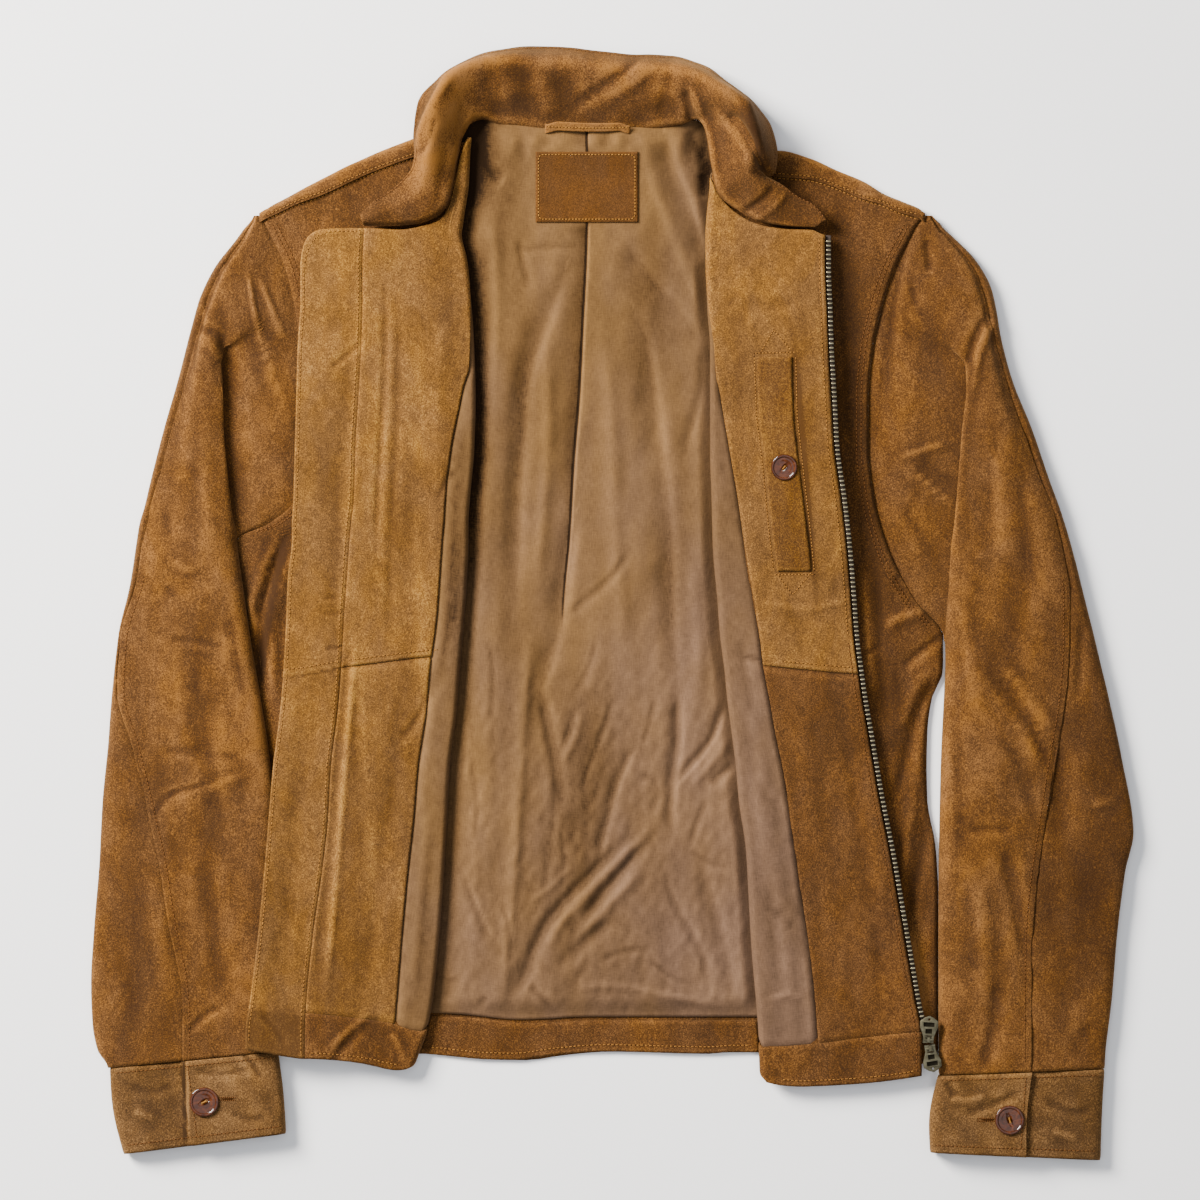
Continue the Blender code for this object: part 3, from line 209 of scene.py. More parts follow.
# sleeves, one row a station: outer edge, hind seam, inner fold, depth of the tuck under the inner fold,
# then heights; tube is 0 where the sleeve is open to the armhole and 1 where it is closed
SLEEVE_COLUMNS = ("y", "out", "hind", "ridge", "tuck", "z_wing", "z_ridge", "z_crown", "z_hind", "tube")
SLEEVES = {
    "right": (
        (273, 224.6, 222.6, 221, -1, 8.1, 8.3, 8.3, 7.4, 0),
        (268, 229.4, 226.2, 223, -2, 8.2, 8.6, 8.6, 7.4, 0), (264, 232.5, 229, 225, -3, 8.5, 9, 9, 7.5, 0),
        (257, 240, 236, 229, -3, 9, 10, 10, 8, 0), (240, 256, 250, 236, -3, 9.5, 12, 12.5, 9, 0),
        (222, 265.7, 259, 241, -2, 9.5, 12.6, 13.6, 9.6, 0), (208, 269, 263, 244, -2, 9.5, 13, 14, 10, 0),
        (190, 272, 266, 248, 2, 9, 13.5, 15, 10, 0), (159, 280, 275, 248, 4, 8.6, 14, 16, 10.5, 0),
        (124, 294, 287, 245, 5, 8.4, 14, 16, 10.5, 0), (89, 306, 300, 242, 6, 8.2, 14, 16, 10.5, 0),
        (61, 316, 310, 240, 6, 7.8, 14, 16, 10.5, 0), (33, 324, 317, 237, 4, 7, 13, 16, 11, 0),
        (5, 331, 320, 236, 0, 6, 11, 16, 12, 0), (-23, 338, 320, 234.5, -1, 4, 9, 16, 13, 0.15),
        (-44, 343, 319, 234, -1, 3, 8.6, 15.6, 13.4, 1), (-65, 348, 317, 233, -1, 3, 8.6, 15.2, 14, 1),
        (-107, 357, 310, 231, -1, 3, 8.6, 15, 14, 1), (-158, 365, 302, 229.8, -1, 3, 8.6, 15, 14, 1),
        (-184, 359.5, 298, 229.4, -1, 3, 8.6, 15, 14, 1), (-226, 354, 294, 229.2, -1, 3, 8.6, 14.6, 14, 1),
        (-275, 350, 293, 229.2, -1, 3, 8.6, 14.4, 14, 1), (-325, 345, 293, 229.4, -1, 3, 9, 14.2, 14, 1),
    ),
    "left": (
        (273, -250.4, -248.8, -247.6, -1, 8.1, 8.3, 8.3, 7.4, 0),
        (268, -253.4, -250.4, -248, -1, 8.2, 8.6, 8.6, 7.4, 0),
        (264, -257, -253, -249, -2, 8.3, 9, 9, 7.5, 0), (257, -262, -257, -250, -2, 8.6, 10, 10, 8, 0),
        (236, -278, -272, -260, -2, 9, 12, 12.5, 9, 0), (215, -288, -282, -270, -2, 9, 13, 14, 10, 0),
        (194, -294, -288, -276, 0, 9, 13, 15, 10, 0), (159, -303, -297, -271, 3, 8.6, 13.5, 15.6, 10.5, 0),
        (124, -313, -307, -270, 4, 8.2, 13.5, 15.6, 10.5, 0),
        (89, -322, -316, -267, 4, 7.4, 13, 15.6, 10.5, 0),
        (68, -327, -322, -265, 2, 6.6, 12, 15.6, 10.5, 0),
        (58, -330, -324, -264, 0, 5.6, 11, 15.6, 10.5, 0),
        (46, -332, -327, -263, -1, 4, 9, 15.6, 10.5, 0.15), (19, -336, -331, -259, -1, 3, 8.6, 15, 11, 1),
        (-23, -345, -343, -253, -1, 3, 8.6, 14.6, 11, 1), (-58, -349, -345, -247, -1, 3, 8.6, 14, 11, 1),
        (-96, -352, -335, -241, -1, 3, 8.2, 13.6, 12, 1), (-137, -356, -325, -236, -1, 3, 8, 13.4, 13, 1),
        (-177, -358, -316, -234, -1, 3, 8, 13.4, 13.2, 1),
        (-226, -362, -308, -233, -1, 3, 8, 13.4, 13.4, 1),
        (-260, -364, -301, -233, -1, 3, 8, 13.4, 13.4, 1),
        (-285, -363, -299, -233, -1, 3, 8, 13.4, 13.4, 1),
        (-303, -359.5, -299, -233, -1, 3, 8, 13.4, 13.4, 1),
        (-316, -352.5, -299, -233, -1, 3, 8, 13.4, 13.4, 1),
    ),
}

# cuffs: corners (top inner, top outer, bottom outer, bottom inner), then the overlap's place across
CUFFS = {
    "right": ((227.9, -327.6), (344.8, -323.3), (342.0, -386.8), (222.3, -381.2), 0.56),
    "left": ((-232.8, -310.8), (-351.0, -322.7), (-341.3, -382.6), (-227.2, -367.9), 0.57),
}
# buttonholes: x from, x to, y
BUTTONHOLES = ((255.2, 269.5, -358.0), (-273.4, -262.0, -343.4))

# collar, one row a section from the left tip round the neck to the right tip: seam, crest and free edge
COLLAR = (
    (-173, 265.2, 15.4, -174, 269, 18, -175, 273, 17), (-155, 265.2, 15.4, -158, 275, 19, -164, 283, 17),
    (-138, 266.2, 15.4, -144, 281, 20, -154, 289, 17), (-123, 271, 15.5, -134, 288, 20.5, -144, 298, 17),
    (-114, 280, 15, -129, 300, 22.5, -138, 306, 16), (-110, 295, 14, -127, 314, 25, -136, 317, 16),
    (-107, 311, 13, -126, 328, 27, -137, 331, 15), (-104, 327, 12, -121, 349, 27.5, -134, 350, 14),
    (-98, 337, 10, -112, 366, 26, -123, 365, 13), (-89, 340, 8, -98, 374, 24, -105, 378, 11),
    (-75, 336, 6, -77, 377, 21, -79, 387, 9), (-47, 332.2, 5.8, -46, 376, 20, -46, 390, 8),
    (-15, 331.2, 5.8, -14, 373, 19, -14, 387, 8), (14, 332.2, 5.8, 16, 371, 20, 16, 384, 8),
    (35, 334, 8, 42, 371, 23, 42, 383, 9), (48, 336, 9, 61, 366, 28, 63, 376, 11),
    (55, 339, 10, 74, 360, 32, 83, 363, 12), (59, 340, 11, 86, 352, 34, 100, 348, 13),
    (62, 338, 12, 95, 338, 34, 110, 334, 14), (65, 332, 14, 99, 322, 33, 114, 316, 15),
    (67, 322, 15, 98, 314, 33, 113, 303, 18), (69, 308, 16, 94, 308, 32, 107, 298, 21),
    (72, 293, 16, 94, 302, 30, 109, 297, 22), (77, 284, 16, 102, 291, 26, 119, 292, 21),
    (89, 276, 16, 112, 282, 22, 130, 285, 19), (103, 268.8, 15.6, 124, 276, 20, 140, 280, 18),
    (121, 265.4, 16.4, 136, 270, 19, 146, 274, 18), (139, 264.6, 16.4, 145, 267, 19, 149, 269, 18),
)

# back: how far up and down the back panel and its lining run, by place across the body from 0 to 1
BACK_ENDS = (
    (0.0, 266, -313), (0.05, 272, -313), (0.1, 283, -313), (0.16, 297.6, -313), (0.235, 312, -313),
    (0.3, 322, -315.5), (0.335, 330, -317), (0.375, 329.5, -317.5), (0.43, 329, -314), (0.5, 328, -311.5),
    (0.65, 330, -313), (0.68, 302, -312), (0.8, 297.5, -312), (0.88, 285.3, -312), (0.95, 272, -312),
    (1.0, 266, -312),
)
LINING_ENDS = (
    (0.0, 334, -284), (0.12, 343, -285), (0.3, 335.5, -289), (0.5, 333.5, -287), (0.7, 336, -287),
    (0.84, 342, -287), (1.0, 336, -287),
)
BACK_HEM_TOP = ((0.0, -286), (0.12, -287), (0.3, -291), (0.5, -289), (0.7, -289), (1.0, -289))

# shoulder yokes: the fold line of the shoulder from the neck out to the armhole
YOKES = {
    "right": (
        (72, 319, 308, 304), (118, 318, 304, 300), (139, 312.5, 302, 296), (158, 304, 296, 289),
        (175, 297, 288.5, 282), (189, 288.5, 284.5, 277), (203, 282.5, 278.5, 271),
        (214, 278.3, 275.2, 268), (216.6, 277, 274.4, 271.5),
    ),
    "left": (
        (-243.6, 276.6, 274.2, 271.5), (-236, 280.5, 277, 270), (-218, 290, 285.5, 275),
        (-205, 297, 290, 282), (-170, 314, 306, 300), (-135, 328, 319, 313), (-108, 338, 327, 323),
    ),
}

# zip, by place beyond the fly seam: tape and chain of each front, their thickness and offset from the front
ZIP_STRIPS = {
    "zip_tape_left": ("left", 3.03, 3.16, 262, -290, 0.9, -0.9, "tape"),
    "zip_chain_left": ("left", 3.18, 3.26, 262, -290, 2.0, -1.5, "metal"),
    "zip_tape_right": ("right", 3.05, 3.5, 259, -294, 0.8, -0.35, "tape"),
    "zip_chain_right": ("right", 3.08, 3.5, 259, -294, 2.0, 1.4, "metal"),
}

# inner pocket's welt: y, near edge and far edge; then the label's sides
WELT = ((174, 102, 126), (133, 103.5, 127), (97, 108, 131), (55, 112, 136), (25, 115.5, 139))
LABEL_X = (-53, 18.5)
LABEL_Y = (268.5, 317.5)
# hanger loop: stations along the collar, places across it and rise over it
LOOP_ALONG = (11.02, 12.95)
LOOP_ACROSS = (0.12, 0.19)
LOOP_RISE = 1.4

# buttons: x, y, radius, and the cuffs' turns
POCKET_BUTTON = (120.3, 97.0, 9.1)
CUFF_BUTTONS = {"left": (-284.1, -345.5, 10.2, 0.5), "right": (277.6, -358.1, 10.2, 1.9)}
# zip: a tooth's size, a pull's thickness and the height of its bar
TOOTH_SIZE = (3.3, 1.45, 2.6)
PULL_T = 1.4
PULL_Z = 14.3
# tab of a zip pull: distance from its bar and half width, from the bar to the tip
TAB_STATIONS = ((-0.7, 3.6), (2.2, 3.8), (3.6, 4.2), (9.0, 6.3), (13.0, 6.3), (15.4, 3.2), (16.6, 0.5))
# what is cut out of the tab, as size and place: the bar's slot and two recesses
TAB_CUTS = (
    ((4.4, 2.2, 4), (0, 1.9, 0)),
    ((4.6, 3.2, 0.8), (0, 6.0, PULL_T / 2)),
    ((7.6, 3.0, 0.8), (0, 10.6, PULL_T / 2)),
)
# pulls: place of the bar and turn
PULLS = {
    "upper": ((221.0, -302.2), math.radians(-2.6)),
    "lower": ((222.2, -308.2), math.radians(188.4)),
}
# box pleat of the back lining: y, x of its edge, depth
PLEAT = (
    (332, -16.5, 2.0), (268, -16.5, 3.6), (194, -19.5, 5.0), (145, -22, 5.4), (103, -25.5, 4.8),
    (47, -29, 3.0), (4, -33, 1.0), (-20, -34, 0.0),
)


# ---------------- form of the panels
def smooth(rows, at, key=0, value=1):
    """Monotone cubic through the table's stations, flat beyond its ends."""
    data = sorted((row[key], row[value]) for row in rows)
    x = np.array([d[0] for d in data], float)
    v = np.array([d[1] for d in data], float)
    step = np.diff(x)
    slope = np.diff(v) / step
    tangent = np.zeros(len(x))
    for i in range(1, len(x) - 1):
        if slope[i - 1] * slope[i] > 0:
            w1 = 2 * step[i] + step[i - 1]
            w2 = step[i] + 2 * step[i - 1]
            tangent[i] = (w1 + w2) / (w1 / slope[i - 1] + w2 / slope[i])
    at = np.clip(np.asarray(at, float), x[0], x[-1])
    i = np.clip(np.searchsorted(x, at) - 1, 0, len(x) - 2)
    t = (at - x[i]) / step[i]
    a = (1 + 2 * t) * (1 - t) ** 2 * v[i] + t * (1 - t) ** 2 * step[i] * tangent[i]
    return a + t * t * (3 - 2 * t) * v[i + 1] + t * t * (t - 1) * step[i] * tangent[i + 1]


def ease(t):
    """Smooth step from 0 to 1."""
    t = np.clip(t, 0, 1)
    return t * t * (3 - 2 * t)


def spline(points, s):
    """Cubic B-spline that starts and ends on the ends of its control polygon."""
    p = np.array([points[0]] * 2 + list(points) + [points[-1]] * 2, float)
    spans = len(p) - 3
    u = np.clip(np.asarray(s, float), 0, 1) * spans
    i = np.minimum(u.astype(int), spans - 1)
    f = (u - i)[:, None]
    a = (1 - f) ** 3 * p[i] + (3 * f ** 3 - 6 * f ** 2 + 4) * p[i + 1]
    return (a + (-3 * f ** 3 + 3 * f ** 2 + 3 * f + 1) * p[i + 2] + f ** 3 * p[i + 3]) / 6


def normals(grid):
    """Unit normals of a grid of points, turned so that they mostly agree with the grid's own winding."""
    along = np.gradient(grid, axis=0)
    across = np.gradient(grid, axis=1)
    n = np.cross(across, along)
    return n / np.maximum(np.linalg.norm(n, axis=2, keepdims=True), 1e-9)


def front_at(side, y, measure):
    """One measure of a front at stations y."""
    return smooth(FRONTS[side], y, 0, measure)


def fold_axis(side, y):
    """X of the line that a front's wall bends round at its fold."""
    return front_at(side, y, FOLD) + OUT[side] * FOLD_COVER


def between_folds(y, f):
    """Place across the body from the left fold (0) to the right one (1)."""
    return front_at("left", y, FOLD) * (1 - f) + front_at("right", y, FOLD) * f


def ends_of(rows, shift=0):
    """A table of (place, top, bottom) as two curves over the place."""
    return [(r[0] + shift, r[1]) for r in rows], [(r[0] + shift, r[2]) for r in rows]


def front_point(side, q, y):
    """Middle of a front: q 0 to 1 under the fold, 1 to 2 round it, 2 to 3 on top, 3 to 4 the turned edge."""
    q, y = np.broadcast_arrays(np.asarray(q, float), np.asarray(y, float))
    edge, fly, seam = (front_at(side, y, k) for k in (EDGE, FLY, SIDE))
    z_fly, z_edge, z_side = (front_at(side, y, k) for k in (Z_FLY, Z_EDGE, Z_SIDE))
    centre = fold_axis(side, y)
    low, turn, top, flap = (np.clip(q - k, 0, 1) for k in range(4))
    turn = turn * math.pi
    puff = FRONT_PUFF * np.sin(math.pi * low) * ease((y + 250) / 120) * ease((290 - y) / 60)
    x = np.where(q < 1, seam + (centre - seam) * low, centre - OUT[side] * FOLD_R * np.sin(turn))
    z = np.where(q < 1, z_side + (FRONT_BASE - z_side) * ease(low) + puff,
                 FRONT_BASE + FOLD_R - FOLD_R * np.cos(turn))
    z_top = FRONT_BASE + 2 * FOLD_R
    x = np.where(q > 2, centre + (fly - centre) * top, x)
    z = np.where(q > 2, z_top + (z_fly - z_top) * ease(top), z)
    x = np.where(q > 3, fly + (edge - fly) * flap, x)
    z = np.where(q > 3, z_fly + (z_edge - z_fly) * ease(flap), z)
    return np.stack([x, y, z], axis=-1)


def front_normal(side, q, y):
    """Direction out of the garment's inner face, which is up on the turned part."""
    e = 0.004
    n = np.cross(front_point(side, q + e, y) - front_point(side, q - e, y),
                 front_point(side, q, y + 1.0) - front_point(side, q, y - 1.0))
    return OUT[side] * n / np.linalg.norm(n, axis=-1, keepdims=True)


def q_of(side, measure, shift=0.0):
    """Place round the front, as a function of y, of one measure moved outward by shift millimetres."""
    def place(y):
        centre = fold_axis(side, y)
        across = front_at(side, y, measure) + OUT[side] * shift - centre
        return np.clip(2 + across / (front_at(side, y, FLY) - centre), 1.5, 3)
    return place


def facing_place(side, shift):
    """Edge between facing and lining: round the fold near the neck, then leaving it down the front."""
    edge = q_of(side, FACING, shift)

    def place(y):
        near = ease((y - 150) / 110)
        return edge(y) * (1 - near) + (1.5 + shift * 0.08) * near
    return place


def body_x(y, f):
    """Place across the back between the two side seams."""
    left = front_at("left", y, SIDE)
    return left + (front_at("right", y, SIDE) - left) * f


def back_hem(f):
    """Y of the back's lower end between the fronts."""
    return smooth(BACK_ENDS, HEM_SPAN[0] + (HEM_SPAN[1] - HEM_SPAN[0]) * f, 0, 2)


def back_height(x, y):
    """Rise of the back towards the collar seam; flat on the surface everywhere else."""
    return 2.6 * ease((y - 300) / 28) * ease((78 - np.abs(x + 14)) / 24)


def lining_point(f, y):
    """Middle of the back lining: its columns gather at the pleat, so that its edge stays sharp."""
    left = front_at("left", y, FOLD) - LINING_TUCK
    x = left + (front_at("right", y, FOLD) + LINING_TUCK - left) * f
    line = smooth(PLEAT, y)
    x = line + (x - line) * np.minimum(np.abs(x - line) / PLEAT_REACH, 1) ** 0.5
    return np.stack([x, y + 0 * x, lining_surface(x, y)], axis=-1)


def cuff_line(side, y_mid):
    """Slope of the sleeve's rows, which turn to the cuff's slant towards the wrist."""
    inner, outer = CUFFS[side][:2]
    return (outer[1] - inner[1]) / (outer[0] - inner[0]) * ease((-200 - y_mid) / 110)


def sleeve_row(side, y):
    """Named measures of one sleeve station, X counted outward; the armhole follows the front's side seam."""
    row = {name: float(smooth(SLEEVES[side], y, 0, k)) for k, name in enumerate(SLEEVE_COLUMNS) if k}
    for name in ("out", "hind", "ridge"):
        row[name] *= OUT[side]
    row["arm"] = float(front_at(side, y, SIDE)) * OUT[side]
    row["z_arm"] = float(front_at(side, y, Z_SIDE))
    row["slope"] = (row["z_hind"] - row["z_crown"]) * 0.09
    row["start"] = (row["arm"] + GAP) * (1 - row["tube"]) + (row["ridge"] + CLOSED_REACH) * row["tube"]
    return row


def upper_sleeve_section(side, y, s):
    """Armhole or underarm seam, round the inner fold, over the crown to the hind seam."""
    m = sleeve_row(side, y)
    r, h, tube, arm, crown, wing = (m[k] for k in ("ridge", "hind", "tube", "arm", "z_crown", "z_wing"))
    span = max(r - arm, 0.5)
    opened = [(arm + GAP, m["z_arm"]), (arm + span * 0.3, m["z_arm"] * 0.5 + wing * 0.5 + 0.5),
              (arm + span * 0.65, wing), (r + m["tuck"], wing), (r + m["tuck"], wing + 2.2)]
    closed = [(r + reach, FLOOR_MID) for reach in (CLOSED_REACH, 11, 7, 3)] + [(r, 2.2)]
    first = [tuple(np.array(w) * (1 - tube) + np.array(c) * tube) for w, c in zip(opened, closed)]
    room = h - r
    lap = 1 - ease(tube * 6)
    first[0] = (first[0][0] - 2.4 * lap, first[0][1] - 1.7 * lap)
    first.insert(1, (first[1][0] * 0.1 + arm * 0.9, m["z_arm"] - 1.4 * lap) if lap else first[0])
    rest = [(r, (wing + 3.2) * (1 - tube) + 4.5 * tube), (r, m["z_ridge"]),
            (r + min(5, room * 0.2), crown - 1.6), (r + min(16, room * 0.35), crown),
            (r + room * 0.5, crown), (r + room * 0.75, crown),
            (h - SEAM_HALF - 3, m["z_hind"] - 3 * m["slope"]), (h - SEAM_HALF, m["z_hind"])]
    head = ease((y - HEAD_FROM[side]) / 40)
    if head:
        # towards the sleeve head the fold opens into an even arch
        far = np.array([r + room * 0.5, crown])
        near = np.array([arm + 1.5, m["z_arm"] - 0.4])
        row = first[2:] + rest[:5]
        for k, point in enumerate(row):
            t = (k + 1) / (len(row) + 1)
            even = near + (far - near) * np.array([t, math.sin(math.pi / 2 * t)])
            row[k] = tuple(np.array(point) * (1 - head) + even * head)
        first, rest = first[:2] + row[:-5], row[-5:] + rest[5:]
    return place_row(side, y, spline(first + rest, s))


def under_sleeve_section(side, y, s):
    """Hind seam on top, over the outer edge and back along the surface to the armhole or underarm seam."""
    m = sleeve_row(side, y)
    o, h, z_hind = m["out"] - SUEDE / 2, m["hind"], m["z_hind"]
    last = m["start"] + (0.5 if m["tube"] > 0 else 0)
    room = o - h
    high = min(z_hind, 11.5)
    reach = min(3, room * 0.3)
    p = [(h - 0.9, z_hind - 1.3), (h + SEAM_HALF + 0.6, z_hind - 0.7),
         (h + SEAM_HALF + reach, z_hind + reach * m["slope"]), (o - min(4, room * 0.4), high - 0.4),
         (o, high - 3.2), (o, 3), (o - 2, FLOOR_MID), (o - 8, FLOOR_MID),
         (o * 0.6 + last * 0.4, FLOOR_MID), (o * 0.3 + last * 0.7, FLOOR_MID), (last, FLOOR_MID)]
    return place_row(side, y, spline(p, s))


def place_row(side, y, p):
    """Turn a section (outward, up) into points on its side of the jacket, slanted like the cuff."""
    inner, outer = CUFFS[side][:2]
    x = p[:, 0] * OUT[side]
    return np.stack([x, y + (x - (inner[0] + outer[0]) / 2) * cuff_line(side, y), p[:, 1]], axis=-1)


def collar_grid(along, across):
    """Middle surface of the collar at stations along the table and places from seam (0) to free edge (1)."""
    columns = [smooth([(i, row[k]) for i, row in enumerate(COLLAR)], along) for k in range(9)]
    grid = []
    for row in np.stack(columns, axis=1):
        seam, crest, free = row[0:3], row[3:6], row[6:9]
        high = crest + (crest - (seam + free) / 2) * 0.25
        poly = [seam, seam * 0.55 + high * 0.45, high * 0.9 + seam * 0.1, high * 0.9 + free * 0.1,
                free * 0.6 + high * 0.4, free]
        grid.append(spline(poly, across))
    return np.stack(grid)


def yoke_section(rows, x, s):
    """Over the shoulder fold, from the back panel on the surface to the front's shoulder seam."""
    fold, seam, back = (smooth(rows, x, 0, k) for k in (1, 2, 3))
    seam = seam + 1.8
    top = FLOOR_MID + 2 * YOKE_R
    under = front_height(x, seam - 4) + SUEDE + 0.2
    poly = [(back, FLOOR_MID), ((back + fold) / 2, FLOOR_MID), (fold - 1, FLOOR_MID), (fold, 2),
            (fold, top - 1.4), (fold - 1, top), (max(seam + 1, fold - 6), (top + under) / 2 + 0.4),
            (seam - 1, under + 0.5), (seam - 3.5, under), (seam - 5.5, under)]
    return spline(poly, s)


def front_height(x, y):
    """Height of the outer front's middle surface at a place under its fold."""
    side = "right" if x > 0 else "left"
    seam = front_at(side, y, SIDE)
    q = np.clip((x - seam) / (fold_axis(side, y) - seam), 0.01, 0.98)
    return float(front_point(side, q, y)[..., 2])


def cuff_grid(side, around, down):
    """Flat tube whose ends overlap on the upper face."""
    inner_top, outer_top, outer_low, inner_low, lap = CUFFS[side]
    top = CUFF_TOP
    low = CUFF_T / 2
    rise = top - CUFF_T - 0.9
    inner_end = [(lap - 0.13, rise), (lap + 0.05, rise), (0.8, rise), (0.95, rise - 0.4), (1, rise - 3)]
    under = [(1, 3.4)] + [(f, low) for f in (0.98, 0.93, 0.7, 0.3, 0.07, 0.02)] + [(0, 3.4)]
    outer_end = [(0, top - 3.6), (0.03, top - 0.4)]
    outer_end += [(f, top) for f in (0.12, lap * 0.6, lap - 0.05, lap)]
    p = spline(inner_end + under + outer_end, around)
    rows = []
    for t in down:
        bow = CUFF_BOW[side] * math.sin(math.pi * t) ** 1.2
        inner = np.array(inner_top) * (1 - t) + np.array(inner_low) * t + [bow[0], 0]
        outer = np.array(outer_top) * (1 - t) + np.array(outer_low) * t + [bow[1], 0]
        trim = CUFF_T / 2 / abs(outer[0] - inner[0])
        f = trim + p[:, 0] * (1 - 2 * trim)
        xy = inner[None] + (outer - inner)[None] * f[:, None]
        rows.append(np.concatenate([xy, p[:, 1:2]], axis=1))
    return np.stack(rows)


